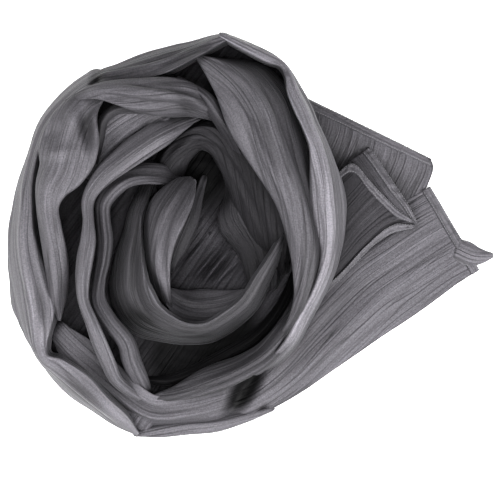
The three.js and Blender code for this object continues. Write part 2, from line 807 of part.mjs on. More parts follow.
// A closed geometry as a solid that can be cut.
function solidOf(geometry) {
  const merged = mergeVertices(geometry, WELD);
  return new wasm.Manifold(new wasm.Mesh({
    numProp: 3,
    vertProperties: new Float32Array(merged.attributes.position.array),
    triVerts: new Uint32Array(merged.index.array),
  }));
}

function geometryOf(solid) {
  const mesh = solid.getMesh();
  const geometry = new THREE.BufferGeometry();
  geometry.setAttribute('position', new THREE.BufferAttribute(mesh.vertProperties, 3));
  geometry.setIndex(new THREE.BufferAttribute(mesh.triVerts, 1));
  return geometry;
}

// A solid less a tool, unless their boxes lie apart.
function cut(solid, tool) {
  const a = solid.boundingBox();
  const b = tool.boundingBox();
  const apart = [0, 1, 2].some((k) => a.max[k] < b.min[k] || b.max[k] < a.min[k]);
  if (apart) return solid;
  const rest = solid.subtract(tool);
  solid.delete();
  return rest;
}

// The largest of the parts that a cut leaves, without the slivers that hang on it by a hair.
function largest(solid) {
  const pick = (whole) => whole.decompose().reduce(
    (best, part) => (part.volume() > best.volume() ? part : best));
  return pick(solidOf(geometryOf(pick(solid))));
}

function floorSolid() {
  const box = new THREE.BoxGeometry(FLOOR_SPAN, FLOOR_SPAN, FLOOR_DEPTH);
  box.deleteAttribute('normal');
  box.deleteAttribute('uv');
  box.translate(0, 0, -FLOOR_DEPTH / 2);
  return solidOf(box);
}

// Every piece: its grid, how far its outer face stands off the grid, its wall, and whether it
// hides all that lies under it.
const pieces = new Map();
for (const [name, stretch] of Object.entries(STRETCHES)) {
  const deep = !name.startsWith('tail');
  const wall = deep ? WALL : TAIL_WALL;
  pieces.set(name, { grid: stretchGrid(stretch), out: 0, wall, deep });
}
for (const [name, panel] of Object.entries(PANELS)) {
  const wall = name === 'tail_back' ? TAIL_WALL : WALL;
  pieces.set(name, { grid: panelGrid(panel), out: 0, wall, deep: false });
}
for (const [name, on, side] of HEMS) {
  const grid = hemGrid(pieces.get(on).grid, side);
  pieces.set(name, { grid, out: HEM_GAP + HEM_WALL, wall: HEM_WALL, deep: false, on });
}

const floor = floorSolid();
const clearBase = solidOf(baseGeometry(SEAM_GAP));
const clearOf = new Map();
const solids = new Map([['base_layers', solidOf(baseGeometry())]]);
for (const name of LAYERS) {
  const piece = pieces.get(name);
  const { grid, out, wall } = piece;
  let solid = solidOf(wallGeometry(grid, out, wall - out));
  solid = cut(cut(solid, floor), clearBase);
  for (const [above, clear] of clearOf) {
    if (pieces.get(above).on !== name) solid = cut(cut(solid, clear), solids.get(above));
  }
  solids.set(name, largest(solid));
  clearOf.set(name, clearSolid(grid, piece));
}

const group = new THREE.Group();
for (const [name, solid] of solids) {
  const geometry = geometryOf(solid);
  geometry.computeVertexNormals();
  const mesh = new THREE.Mesh(geometry, new THREE.MeshStandardMaterial(CLOTH));
  mesh.name = name;
  group.add(mesh);
}

// The origin lies under the middle of the whole, on the surface it rests on.
const middle = new THREE.Box3().setFromObject(group).getCenter(new THREE.Vector3());
group.position.set(-middle.x, -middle.y, 0);

export default group;
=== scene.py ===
"""A crinkle-chiffon hijab wound into a loose coil and laid down, its two hemmed ends flat at one side.

Tables are in millimetres on the part's own plan; everything that is built is in metres in the row frame.
"""
import math

import bpy
import numpy as np
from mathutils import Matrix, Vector


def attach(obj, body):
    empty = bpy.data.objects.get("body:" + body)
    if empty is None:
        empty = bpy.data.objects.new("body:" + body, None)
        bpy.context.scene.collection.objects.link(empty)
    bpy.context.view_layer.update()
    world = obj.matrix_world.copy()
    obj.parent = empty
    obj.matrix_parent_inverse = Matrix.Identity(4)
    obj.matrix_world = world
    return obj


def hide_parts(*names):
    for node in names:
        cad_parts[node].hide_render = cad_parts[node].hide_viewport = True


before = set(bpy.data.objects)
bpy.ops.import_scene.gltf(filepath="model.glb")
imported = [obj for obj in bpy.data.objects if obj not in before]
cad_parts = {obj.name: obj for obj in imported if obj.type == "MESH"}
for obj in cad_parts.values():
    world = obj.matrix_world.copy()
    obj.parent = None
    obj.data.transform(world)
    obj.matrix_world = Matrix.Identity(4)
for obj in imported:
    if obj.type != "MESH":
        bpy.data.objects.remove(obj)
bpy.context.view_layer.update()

MM = 0.001
SHIFT = (-37.5075, -3.0888, 0)  # from the tables' origin to the part's
CLOTH = 0.45  # thickness of the cloth
LOWEST_FACE = CLOTH + 0.1  # lowest that a piece's upper face lies
LOWEST_BACK = 0.08  # lowest that its underside lies
ALONG = 2.3  # spacing of a stretch's points along it
ACROSS = 1.0  # spacing across what shows of it
TURNED = 2.6  # spacing down its turned-under sides
PANEL_STEP = 1.3  # spacing of a panel's points
FEWEST = 3  # fewest points down a turned-under side
USUAL_WIDE = 80  # percentile of a stretch's widths that its number of points fits
FINE, PANEL_FINE = 160, 200  # steps of the smooth curves round a section and along a panel
FINE_ROWS = 40  # steps of the smooth curve along a stretch, for each row
SMOOTHINGS = 4  # rounds of smoothing of a stretch's direction

# How a section rounds, as in the part: near its crown, and at the knees of its turned-under sides.
CREST, CREST_SWELL, CREST_LEAN = 0.58, 0.02, 0.3
KNEE_DROP, KNEE_REACH = 0.45, 0.15

TUCK_STEPS = 5  # rows that close each end of a stretch
TUCK_USUAL = (8, 8)  # how far its ends run on, where TUCK doesn't say
TUCK_NARROWS, TUCK_SINKS = 0.75, 1.3  # share of its width that it loses, and fall for each millimetre
SLANT_ROWS = 9  # rows over which a slanted end straightens
SLANT_FROM, SLANT_OVER = 8, 28  # how far left of the crown the slant begins, and over what it grows
FLARE_FROM, FLARE_OVER = 8, 25  # width from which a flared foot moves out, and how much more it takes

FOLD_ENDS = 0.8  # how softly a fold dies out, less for a blunter end
FOLD_LOW, FOLD_SOFT = 0.6, 1.3  # the part's folds are lower and softer on the cloth
CREASE_LOW, CREASE_SOFT = 0.5, 1.4  # and so are the finer creases
# Crinkle columns: height, length along the cloth, spacing across it, start in the noise.
CRINKLES = [(0.3, 62, 9.5, 0), (0.13, 48, 4.6, 7), (0.06, 34, 2.5, 3)]
CRINKLE_USUAL = (0, 1)  # lean and strength, where CRINKLE doesn't say
LATTICE = 64  # size of the noise before it repeats
PIECE_STEP = 7.3  # how far apart pieces lie in the chiffon's patterns
RIB_WANDER, RIB_PATCH = 2, 9  # how far gathers stray, in radians, and over what

# How much of the sky each point sees, which sets the shade painted into its colour:
SKY_TURNS, SKY_START = 12, 0.2  # directions in which a point looks at the heights round it, and the first
SKY_REACHES = (2.5, 4, 6, 9, 13, 18, 25, 34)  # how far away it looks
SKY_SPREAD = 0.6  # how far a point counts in the height map
SKY_SLACK = 0.6  # how much higher than it hides nothing
SKY_MARGIN = 40  # room round the height map
DEEP, OPEN = 0.1, 0.95  # shares of the sky at which the painted shade is darkest and lightest
DEEP_TONE = 0.24  # tone of the darkest painted shade
DARKENING = 1.35  # how much faster the painted shade's tone falls than the share of sky
UPRIGHT = 0.5  # share of its tone that upright cloth loses, painted shade on cloth that faces sideways
SHADE_OVER = 11  # how far across a piece its painted shade sets in
SHADE_MOST = 0.97  # most painted shade that the painted shadows put on a point

GREY = (0.0735, 0.07, 0.0785)
THREAD_GREY = (0.1, 0.098, 0.106)
HEM_TONE, HEM_LINES = 0.85, 0.6  # a hem is darker than its cloth, with fainter crinkles
SHINE_FALLS = 1.5  # how much faster the gloss falls than the painted tone, dimming it with the painted shade
DEEP_SHINE = 0.2  # gloss of the hidden turns

HEM_WIDTH = 7.2  # width of a sewn hem
HEM_WALL, HEM_FLAT = 1.5, 0.25  # how high it stands, and the share of that at its edges
HEM_THICK_SHARE = 0.8  # its thickness as a share of that height
HEM_GAP = 0.15  # air between it and its panel
HEM_MAX_SHARE = 0.42  # widest share of a narrow panel that one hem takes
HEM_PARTS, SEAM_PARTS = 9, (1, 7)  # points across it, and those that are sewn
HEM_INSET = 2  # points left free at each end of a hem across a whole panel
HEM_ROUND = 0.35  # how flat its dome is, less for flatter
HEM_DIP, HEM_DIP_WIDE = 0.75, 0.13  # depth and width of the dip between its two rolls, as shares
PUCKER_PITCH, PUCKER_ACROSS = 2.8, 1.6  # its short puckers: spacing along, and how many across
WAVE_PITCH, WAVE_SHARE = 11, 0.5  # the longer waves of its pucker, and their share
STITCH_PITCH, STITCH_LONG, STITCH_THICK = 2.1, 1.5, 0.19
STITCH_SIDES, STITCH_BODY = 6, 0.28  # facets, and how far its round part reaches as a share of its length
STITCH_PROUD = 0.05  # how far its middle lies above the hem

BASE_AROUND, BASE_OUT = 260, 84  # points round the hidden turns and out from the eye
BASE_START = 0.012  # share of the way out where the first of them lie
BASE_LOWEST, BASE_FOOT = 1, 0.05  # lowest that its upper face and its foot lie
BASE_FOOT_SHARE = 0.985  # how far out the foot stands
BASE_TURN = 0.95  # turn of its cloth in radians
BASE_SHADOW_EDGE = 1.5  # a painted shadow is whole over the inner third of its reach
RIDGE_HIGH, RIDGE_PITCH = 0.3, 9  # its winding ridges
RIDGES_FROM, RIDGES_RISE, RIDGES_TO, RIDGES_FALL = 0.3, 0.12, 0.97, 0.05  # shares of the way out
RIDGE_WANDER, RIDGE_PATCH, RIDGE_PLACE = 0.35, 40, 9

# ---- the stretches, much as in the part: left and right are as seen along a stretch ----
# legs: how far it turns down on each side; feet: how far out each lower edge stands;
# skew: place of the crown, from -1 right to 1 left; flare: how much further out a wide row's left foot is;
# row columns: x, y, visible width, heights of left shoulder, crown, right shoulder;
# fold columns: from, to (shares along), start, end (mm left of the crown), height, half width.
STRETCHES = {
 "outer_left": dict(legs=(16, 14), feet=(-4, 3), skew=-0.15, rows=[
  (-46, -145.5, 3, 8, 10, 12), (-58.5, -134.5, 13, 9, 20, 24), (-73, -123, 17, 9, 29, 32),
  (-89, -109, 22, 11, 34, 36), (-105, -96, 18, 12, 36, 38), (-115.5, -88, 11, 12, 36, 38),
  (-119.5, -78, 15, 12, 36, 38), (-121, -66, 24, 12, 38, 38), (-123, -50, 33, 12, 40, 37),
  (-126, -34, 32, 12, 40, 36), (-130, -15, 27, 12, 38, 36), (-132, 4, 21, 12, 36, 36),
  (-131, 22, 16, 13, 34, 36), (-129, 42, 12, 14, 32, 36), (-124, 62, 9, 14, 31, 37),
  (-116, 84, 10, 14, 31, 38), (-104, 100, 11, 14, 32, 40), (-91, 112, 12, 14, 33, 42),
  (-78, 120, 14, 14, 34, 42),
 ], folds=[
  (0.02, 0.3, 3, 7, 3, 5), (0.1, 0.36, -7, -3, -3, 4), (0.22, 0.62, 6, 3, 2.6, 5),
  (0.3, 0.7, -4, -6, -2.4, 4), (0.36, 0.58, -12, -9, 2.4, 4), (0.6, 0.98, 2, 5, 2.2, 4),
 ]),
 "outer_top": dict(legs=(16, 18), feet=(-4, 2), rows=[
  (-86, 113, 9, 14, 34, 40), (-73, 121, 13, 14, 36, 42), (-57, 124, 17, 14, 38, 44),
  (-30, 131.5, 21, 14, 40, 48), (-6, 140, 15, 14, 41, 50), (8, 146, 12, 16, 45, 47),
  (17, 149.5, 9, 17, 43, 43),
 ], folds=[
  (0.1, 0.55, 1, -3, 2.4, 4), (0.3, 0.72, 5, 2, -2.4, 4), (0.45, 0.8, -3, -1, 2, 3),
 ]),
 "outer_right": dict(legs=(18, 24), feet=(-3, 1), skew=0.1, rows=[
  (18, 151, 6, 16, 42, 44), (34, 143.3, 8.5, 18, 44, 46), (51, 135, 9.5, 18, 46, 46),
  (61.5, 129, 6, 18, 47, 48), (67, 120, 7.5, 19, 48, 50), (70.5, 109, 12, 20, 52, 54),
  (76.5, 96, 14, 22, 56, 58), (82, 83, 13, 26, 60, 60), (88, 68, 15, 28, 62, 60), (93, 45, 24, 28, 66, 60),
  (95, 26, 28, 28, 66, 60), (97, 8, 23, 28, 64, 60), (97, -8, 16, 28, 60, 58), (94, -24, 13, 26, 56, 56),
  (87, -41, 11, 26, 54, 54), (78, -58, 11, 24, 50, 50), (69, -75, 11, 22, 46, 46),
  (58, -88, 10, 18, 38, 40), (47, -96, 6, 14, 28, 30),
 ], folds=[
  (0.02, 0.34, 4, 2, 2.2, 3), (0.16, 0.58, -2, -6, -3.2, 3.5), (0.26, 0.72, 3, 1, 2.6, 4),
  (0.34, 0.62, 9, 8, -2.6, 4), (0.42, 0.8, -7, -4, 2.6, 3), (0.6, 0.96, 3, 0, -2.8, 3),
 ]),
 "second_left": dict(legs=(14, 22), feet=(0, -4), skew=0.2, rows=[
  (-103.5, -58, 3, 30, 31, 30), (-104, -50, 8, 34, 36, 32), (-103.5, -40, 13, 38, 44, 36),
  (-104, -24, 17, 42, 49, 44), (-106, -8, 18, 44, 52, 48), (-109, 8, 17, 44, 54, 52),
  (-111, 24, 17, 44, 54, 52), (-108, 38, 25, 44, 55, 54), (-101, 50, 35, 44, 54, 56),
  (-97, 61, 42, 44, 53, 57), (-94, 73, 42, 44, 52, 58), (-91, 84, 37, 44, 51, 58),
  (-87, 93, 29, 44, 49, 56), (-81, 101, 20, 42, 46, 50), (-72, 108, 10, 40, 42, 44),
 ], folds=[
  (0.02, 0.3, 4, 1, 2.4, 4), (0.2, 0.62, -3, -5, -2, 4), (0.34, 0.72, 4, 6, 2, 5),
 ]),
 "second_top": dict(legs=(16, 14), feet=(-1, -2), rows=[
  (-97, 102, 3, 37, 40, 40), (-86, 106, 7, 44, 48, 48), (-74, 108.4, 12, 48, 55, 54),
  (-60, 108, 18, 50, 58, 54), (-45, 105.8, 24, 52, 61, 54), (-30, 104.6, 28, 52, 62, 52),
  (-17, 104, 28, 50, 61, 48), (-6, 102, 24, 46, 57, 44), (5, 97, 17, 40, 48, 40), (14, 91, 10, 34, 42, 36),
  (21, 85, 4, 30, 36, 32),
 ], folds=[
  (0.15, 0.75, -5, -7, -3, 4), (0.25, 0.9, 6, -2, 2.6, 4), (0.35, 0.95, 9, 5, -2.6, 3.5),
 ]),
 "upper_slope": dict(legs=(6, 8), feet=(0, -2), skew=-0.5, rows=[
  (-79, 52, 10, 38, 40, 42), (-71, 66, 24, 38, 40, 46), (-60, 79, 32, 38, 40, 47),
  (-45, 88, 30, 38, 41, 46), (-30, 94, 22, 38, 42, 44),
 ], folds=[
  (0.05, 0.95, -4, -8, 3.4, 3), (0.1, 0.95, -10, -14, -3, 3), (0.2, 0.85, 6, 4, 2, 5),
 ]),
 "upper_roll": dict(legs=(6, 6), feet=(0, 0), rows=[
  (-75, 58, 4, 42, 46, 44), (-73, 74, 7, 44, 51, 46), (-70, 88, 8, 44, 52, 46), (-60, 96, 8, 44, 51, 46),
  (-46, 96, 7, 42, 49, 45), (-32, 93, 5, 42, 46, 44),
 ]),
 "left_ridge": dict(legs=(18, 18), feet=(0, -1), rows=[
  (-31, -121, 3, 10, 14, 12), (-43, -118, 6, 19, 25, 21), (-60, -105, 9, 32, 40, 36),
  (-67, -90, 11, 41, 47, 44), (-73, -75, 11, 47, 52, 50), (-78.5, -60, 9, 51, 56, 52),
  (-84, -45, 8, 54, 58, 54), (-84.5, -30, 10, 56, 60, 56), (-83, -15, 12, 55, 60, 56),
  (-80.5, 0, 11, 56, 60, 56), (-80.5, 14, 8, 54, 58, 54), (-81, 27, 9, 52, 56, 52),
  (-77, 37, 11, 52, 56, 53), (-68, 48, 15, 51, 57, 54), (-56, 58, 18, 49, 57, 55),
  (-41, 69, 20, 47, 56, 55), (-27, 78, 19, 44, 52, 51), (-14, 85, 12, 36, 42, 42), (-5, 89, 6, 30, 34, 34),
 ], folds=[
  (0.05, 0.4, 1, 2, -1.2, 2.5), (0.3, 0.56, -2, 2, 1.2, 3), (0.62, 0.98, 2, -3, 1.6, 4),
  (0.66, 0.98, -5, -8, -1.6, 3),
 ]),
 "left_ridge_inner": dict(legs=(14, 18), feet=(0, -1), skew=-0.1, rows=[
  (-37, -117, 4, 14, 19, 15), (-42.8, -105, 11, 30, 36, 32), (-49.5, -90, 14, 39, 44, 38),
  (-54, -75, 13, 43, 48, 43), (-65.5, -60, 12, 45, 50, 45), (-73.5, -45, 11, 47, 51, 46),
  (-73, -30, 9, 47, 51, 46), (-70, -15, 10, 47, 51, 45), (-68.5, 0, 11, 47, 52, 45),
  (-70, 15, 10, 47, 53, 47), (-70, 26, 11, 48, 54, 49), (-64, 37, 14, 45, 54, 50),
  (-54, 45.5, 15, 43, 52, 51), (-42, 49, 16, 40, 48, 48), (-28, 48.5, 15, 34, 40, 42),
  (-18, 46, 9, 24, 30, 30),
 ], folds=[
  (0.08, 0.36, 1, 3, -1.4, 3), (0.14, 0.4, -5, -2, 1.2, 3), (0.4, 0.66, -1, 1, 1.4, 2.5),
  (0.66, 0.98, 4, 1, -1.4, 4), (0.7, 0.98, -4, -6, 1.2, 3),
 ]),
 "cup": dict(legs=(6, 10), feet=(2, 2), skew=-0.1, rows=[
  (62, 1, 4, 44, 50, 52), (58, -8, 7, 42, 54, 56), (53.5, -17, 9, 38, 57, 60),
  (46, -30.5, 11.5, 34, 58, 63), (36.5, -46.5, 13, 30, 57, 64), (22.8, -58.5, 14, 27, 55, 64),
  (7.5, -67.3, 14, 25, 54, 64), (-9, -68.3, 15.5, 24, 53, 63), (-25, -64, 21, 24, 51, 62),
  (-41.5, -55, 30, 26, 49, 61), (-50.5, -38.5, 30, 28, 48, 59), (-51.5, -21, 23, 30, 47, 57),
  (-50.6, -7.5, 18, 31, 46, 55), (-48.5, 6, 12, 32, 45, 52), (-46.5, 19, 9, 32, 43, 48),
  (-43, 29, 8, 30, 38, 42), (-40, 37, 6, 26, 30, 34),
 ], folds=[
  (0, 0.34, -2, 3, 2.2, 3), (0.1, 0.5, 4, 8, -2.2, 4), (0.4, 0.85, 6, 2, 2, 5),
  (0.5, 0.95, -5, -3, -1.8, 4),
 ]),
 "cup_inside": dict(legs=(4, 6), feet=(0, 0), rows=[
  (41, -37, 4, 44, 42, 40), (30, -43, 13, 46, 38, 30), (18, -48, 22, 48, 36, 27), (3, -50, 26, 48, 35, 26),
  (-10, -48, 22, 48, 36, 27), (-20, -42, 13, 46, 38, 32), (-27, -36, 5, 42, 38, 36),
 ], folds=[
  (0.05, 0.85, 4, -4, 2, 4), (0.2, 0.95, -5, -1, 1.6, 3),
 ]),
 "petal": dict(legs=(12, 22), feet=(0, -2), skew=-0.35, rows=[
  (-21, -51, 4, 36, 40, 40), (-26, -38, 11, 38, 50, 50), (-30, -19, 19, 40, 57, 60),
  (-29, 0, 25, 40, 60, 64), (-24, 18, 30, 38, 59, 64), (-16, 31, 26, 34, 53, 58), (-9, 40, 17, 30, 44, 50),
  (-5, 44, 8, 28, 38, 42),
 ], folds=[
  (0.02, 0.55, 2, 6, 2.4, 4), (0.3, 0.95, -1, 3, -2.4, 4), (0.25, 0.95, 9, 10, 2, 4),
 ]),
 "petal_inside": dict(legs=(4, 16), feet=(0, -3), rows=[
  (-18, -17, 4, 50, 48, 46), (-12, -2, 11, 54, 52, 48), (-5, 15, 10, 54, 52, 48), (-1, 30, 7, 50, 48, 44),
  (2, 40, 5, 44, 42, 40),
 ]),
 "arch": dict(legs=(10, 14), feet=(4, -3), rows=[
  (-18, 30, 14, 24, 22, 18), (-21, 42, 18, 28, 28, 23), (-20, 54, 20, 32, 33, 26),
  (-13, 66, 18, 36, 37, 29), (0, 75, 17, 40, 40, 32), (16, 70, 20, 46, 42, 34), (30, 52, 26, 52, 45, 34),
  (41, 30, 31, 57, 47, 33), (51, 8, 28, 58, 48, 35), (58, -8, 14, 52, 48, 40), (60, -18, 5, 44, 42, 38),
 ], folds=[
  (0.05, 0.5, 3, 0, 2.2, 4), (0.25, 0.8, -5, -4, -2, 4), (0.5, 0.98, 6, 2, 2.2, 5),
 ]),
 "arch_lower": dict(legs=(6, 10), feet=(2, -3), rows=[
  (14.3, 60.8, 8, 30, 28, 22), (21.8, 48.8, 10, 34, 30, 22), (26.3, 34.5, 15, 36, 32, 22),
  (28, 18, 30, 38, 33, 30), (34.5, 6.8, 31, 40, 34, 28), (41, -4.5, 27, 40, 35, 26),
  (45, -18, 25, 40, 35, 28), (46.5, -31, 22, 38, 34, 28),
 ], folds=[
  (0.2, 0.95, 2, -2, 1.8, 4),
 ]),
 "right_band": dict(legs=(26, 16), feet=(-2, -4), skew=0.3, flare=15, rows=[
  (0, 134, 5, 38, 40, 38), (11, 126, 16, 42, 46, 44), (27, 111, 32, 48, 56, 52), (40, 92, 42, 54, 64, 58),
  (49, 73, 39, 58, 68, 60), (59, 52, 32, 60, 70, 62), (68, 32, 27, 60, 70, 62), (74, 11, 24, 60, 70, 62),
  (77, -8, 21, 60, 68, 60), (77, -26, 16, 56, 64, 58), (74, -45, 10, 50, 58, 54), (67, -65, 9, 42, 47, 45),
  (55, -82, 9, 30, 36, 34),
 ], folds=[
  (0.05, 0.6, -10, -3, -3, 4), (0.12, 0.78, -16, -6, 2.6, 3.5), (0.08, 0.7, 4, 3, 2.4, 5),
  (0.3, 0.92, -1, 2, -2.4, 3.5), (0.16, 0.62, 14, 9, -2.6, 5), (0.52, 0.95, 6, 4, 2.2, 3),
 ]),
 "bottom_band": dict(legs=(14, 18), feet=(-1, -3), skew=0.3, rows=[
  (78, -40, 4, 40, 42, 42), (74, -51, 9, 42, 45, 42), (63, -67, 14, 43, 47, 41), (50, -82, 16, 42, 47, 38),
  (40, -89.5, 17, 40, 46, 36), (30, -95, 18, 38, 45, 34), (17, -100.5, 20, 36, 43, 33),
  (5, -105, 19, 34, 41, 33), (-8, -110.5, 15, 31, 38, 32), (-20, -114.5, 10, 28, 34, 30),
  (-36, -118, 5, 24, 27, 27),
 ], folds=[
  (0.04, 0.9, 4, 1, -2.8, 3.5), (0.12, 0.86, -3, -1, 2.4, 3), (0.2, 0.95, 8, 4, 2.4, 3),
 ]),
 "groove_fold": dict(legs=(4, 4), feet=(0, 0), rows=[
  (-36, -104, 5, 16, 20, 17), (-22, -104.5, 8, 17, 22, 18), (-6, -99, 10, 18, 24, 18),
  (9, -91.5, 11, 18, 25, 18), (24, -83.5, 11, 18, 25, 18), (40, -74, 11, 18, 24, 18),
  (53, -61, 10, 18, 23, 18), (63, -45, 8, 18, 22, 18), (69, -29, 6, 18, 20, 18),
 ], folds=[
  (0.1, 0.9, 2, -2, -2.2, 3),
 ]),
 "tail_panel": dict(legs=(2, 2), feet=(0, 0), skew=-0.2, rows=[
  (191, 9, 70, 1.6, 2, 1.8), (170, -3.5, 72, 1.8, 4, 2.4), (148, -18.5, 74, 2, 6, 3),
  (127, -33, 74, 3, 9, 6), (109, -49, 68, 4, 13, 12), (84, -73, 57, 6, 18, 18), (62, -95, 46, 7, 22, 21),
  (38, -112, 38, 8, 24, 24), (12, -121.5, 31, 8, 24, 26), (-14, -126.5, 26, 8, 24, 26),
  (-34, -127, 24, 8, 22, 27), (-50, -119, 25, 9, 24, 29), (-66, -105, 27, 14, 27, 30),
  (-80, -92, 27, 20, 29, 31), (-93, -80, 24, 24, 31, 31), (-102, -70, 16, 26, 30, 30),
 ], folds=[
  (0.02, 0.55, 8, 6, -1.6, 7), (0.06, 0.62, -10, -6, 1.6, 8), (0.3, 0.5, 14, 12, -2.4, 6),
  (0.62, 0.8, 5, 6, 2.4, 6), (0.66, 0.98, 2, 4, -2.6, 4), (0.7, 0.98, 8, 10, 2.4, 4),
 ]),
 "tail_corner": dict(legs=(1, 1), feet=(0, 0), rows=[
  (194, -7, 15, 4.2, 5.4, 4), (199, -9.5, 17, 3.4, 5.8, 3.8), (204, -11.5, 16, 2.8, 5.6, 3.4),
  (209, -12.3, 12.5, 2.6, 5.6, 3), (214, -12.2, 8.5, 2.6, 5.2, 2.8), (218, -11.7, 4.8, 2.5, 3.8, 2.5),
 ]),
 "bottom_edge": dict(legs=(9, 6), feet=(-2, 1), rows=[
  (-46.5, -144, 5, 6, 9, 9), (-30, -141, 12, 6, 12, 11), (-10, -138, 14, 6, 13, 11),
  (12, -136, 14, 6, 13, 11), (34, -131, 10, 6, 12, 10), (52, -126, 5, 5, 8, 8),
 ], folds=[
  (0.05, 0.85, 1, -2, 1.6, 2.5),
 ]),
 "strand": dict(legs=(6, 10), feet=(0, -1), skew=0.1, rows=[
  (-13, 117, 4, 46, 48, 46), (-4, 111, 7, 47, 51, 48), (6, 103, 10, 48, 54, 48), (13.5, 92, 11, 48, 55, 47),
  (21, 80, 10, 46, 54, 44), (28, 68, 8, 44, 50, 42), (33, 58, 5, 40, 45, 40),
 ], folds=[
  (0.1, 0.95, 1, -1, -1.6, 2.5),
 ]),
}

# Creases finer than the folds, with the same columns.
CREASES = {
 "outer_left": [
  (0.05, 0.62, 24, 27, -2.6, 4), (0.3, 0.98, 27, 22, 2.2, 4.5), (0.1, 0.8, 34, 35, -2, 3),
  (0.12, 0.55, 9, 8, -1.2, 2.2), (0.16, 0.5, 12, 12, 1, 2), (0.3, 0.66, 1, 0, -1, 2),
  (0.05, 0.33, -2, 1, 1, 2.5), (0.42, 0.85, -9, -5, 1, 2.4), (0.5, 0.95, -2, 2, -1.2, 2),
 ],
 "outer_top": [
  (0.02, 0.7, 22, 28, -3, 4.5), (0.2, 0.98, 30, 24, 2.4, 4), (0.05, 0.9, 38, 36, -2, 3),
  (0.1, 0.9, 9, 7, 1, 2), (0.2, 0.8, -8, -6, -1.2, 2.4), (0.05, 0.6, 0, 1, 0.8, 1.8),
 ],
 "outer_right": [
  (0.02, 0.4, 20, 26, -2.8, 4), (0.15, 0.66, 32, 28, 2.4, 4.5), (0.3, 0.85, 38, 40, -2.6, 4),
  (0.44, 0.98, 26, 22, -2, 3.5), (0.1, 0.5, 0, 2, 1, 1.8), (0.3, 0.6, -4, -9, 1.2, 2.4),
  (0.38, 0.66, 5, 6, -1.2, 1.8),
  (0.44, 0.92, 2, -2, -1, 1.8), (0.52, 0.96, 7, 3, 1.2, 2), (0.36, 0.7, 12, 11, 1, 2.4),
 ],
 "second_left": [
  (0.08, 0.44, -1, -3, 1, 2), (0.28, 0.56, 1, 3, -1.1, 2), (0.12, 0.5, 7, 7, -1.2, 2.4),
  (0.44, 0.74, -6, -8, 1, 2), (0.6, 0.96, 5, 6, -1, 2.2), (0.62, 0.92, -16, -13, 1.4, 3),
 ],
 "second_top": [
  (0.05, 0.8, 2, -4, 1.1, 1.8), (0.1, 0.9, -2, -9, -1.2, 1.8), (0.3, 0.98, 12, 3, 1.1, 2.2),
  (0.25, 0.8, -10, -12, 1, 2), (0.4, 0.95, 3, -5, -0.9, 1.5),
 ],
 "left_ridge": [
  (0.1, 0.55, 3, 3, 0.9, 1.6), (0.12, 0.5, -4, -3, -1, 1.8), (0.5, 0.8, 0, 2, -0.9, 1.6),
  (0.6, 0.96, 6, 4, -1, 2), (0.7, 0.96, -2, -4, 0.9, 1.8),
 ],
 "left_ridge_inner": [
  (0.1, 0.42, 4, 5, 0.9, 1.6), (0.2, 0.56, -2, -3, -1, 1.8), (0.6, 0.96, 8, 5, 1, 2),
  (0.64, 0.98, 0, -2, 0.9, 1.8),
 ],
 "cup": [
  (0.02, 0.3, 2, 7, -0.9, 1.8), (0.04, 0.36, -5, 1, 0.9, 1.8), (0.3, 0.8, 0, 0, 0.8, 2.4),
  (0.46, 0.92, 10, 6, -0.9, 2.6),
 ],
 "petal": [
  (0.1, 0.9, -6, -6, 0.9, 2), (0.2, 0.95, 4, 6, 0.9, 1.8), (0.35, 0.95, 12, 14, -0.9, 2),
  (0.4, 0.98, -10, -9, -0.9, 2),
 ],
 "arch": [
  (0.06, 0.44, -4, -6, 1, 2), (0.3, 0.9, 0, -1, 0.9, 2.2), (0.4, 0.95, 11, 8, -0.9, 2),
  (0.44, 0.98, -9, -8, 0.9, 2),
 ],
 "right_band": [
  (0.06, 0.5, -14, -9, 1.2, 2), (0.1, 0.66, -6, -1, 1.1, 2), (0.14, 0.7, 0, 0, -1.2, 1.8),
  (0.1, 0.6, 8, 6, 1.2, 2.2), (0.2, 0.55, 18, 12, 1.2, 2.4), (0.4, 0.9, -5, -3, 1.1, 1.8),
  (0.44, 0.94, 3, 1, 1, 1.6), (0.36, 0.8, -10, -7, -1.2, 2), (0.55, 0.98, -2, 0, -1, 1.6),
 ],
 "bottom_band": [
  (0.02, 0.7, 7, 4, 1, 1.8), (0.08, 0.9, 1, -2, -1.1, 1.6), (0.05, 0.95, -6, -4, 1, 2),
  (0.2, 0.98, 11, 7, -1, 2), (0.1, 0.8, -9, -7, -1, 2),
 ],
 "tail_panel": [
  (0.4, 0.72, -2, -3, -1.2, 2.5), (0.44, 0.9, 10, 8, 1.2, 2.5), (0.3, 0.66, 20, 14, 1.4, 4),
  (0.56, 0.98, -6, -3, 1, 2), (0.6, 0.98, 5, 1, -1, 1.8), (0.1, 0.5, 0, -2, 1, 5),
 ],
}

# Creases given in plan: x, y of one end, x, y of the other, height, half width.
PLAN_CREASES = {
 "base_layers": [
  (-6, -30, 18, -2, 4, 3), (2, -32, 24, -6, 4.5, 3), (10, -34, 30, -14, 4, 3),
  (-2, -30, 21, -4, -2.5, 2), (6, -33, 27, -10, -2.5, 2), (-16, -24, 6, 2, 3, 3.5),
 ],
 "tail_panel": [
  (176, 28, 193, -36, -0.7, 4), (166, 22, 182, -42, 0.6, 5), (156, 16, 171, -48, -0.6, 5),
 ],
 "upper_slope": [
  (-31, 91, -74, 50, -3, 2.6), (-38, 92, -78, 56, 1.4, 3),
 ],
}

# How far each end of a stretch runs on under its neighbours.
TUCK = {
 "outer_left": (0, 8), "outer_top": (3, 5), "outer_right": (3, 8), "tail_panel": (0, 10),
 "tail_corner": (3, 2), "bottom_edge": (4, 4), "upper_roll": (5, 5), "right_band": (6, 8),
 "petal": (8, 1.5), "second_left": (2, 8), "second_top": (2, 8), "arch": (10, 8), "strand": (4, 6),
}

# How far the foot of a stretch's left side runs on past its crown at each end, so the end lies aslant.
SLANT = {"outer_top": (13, 0)}

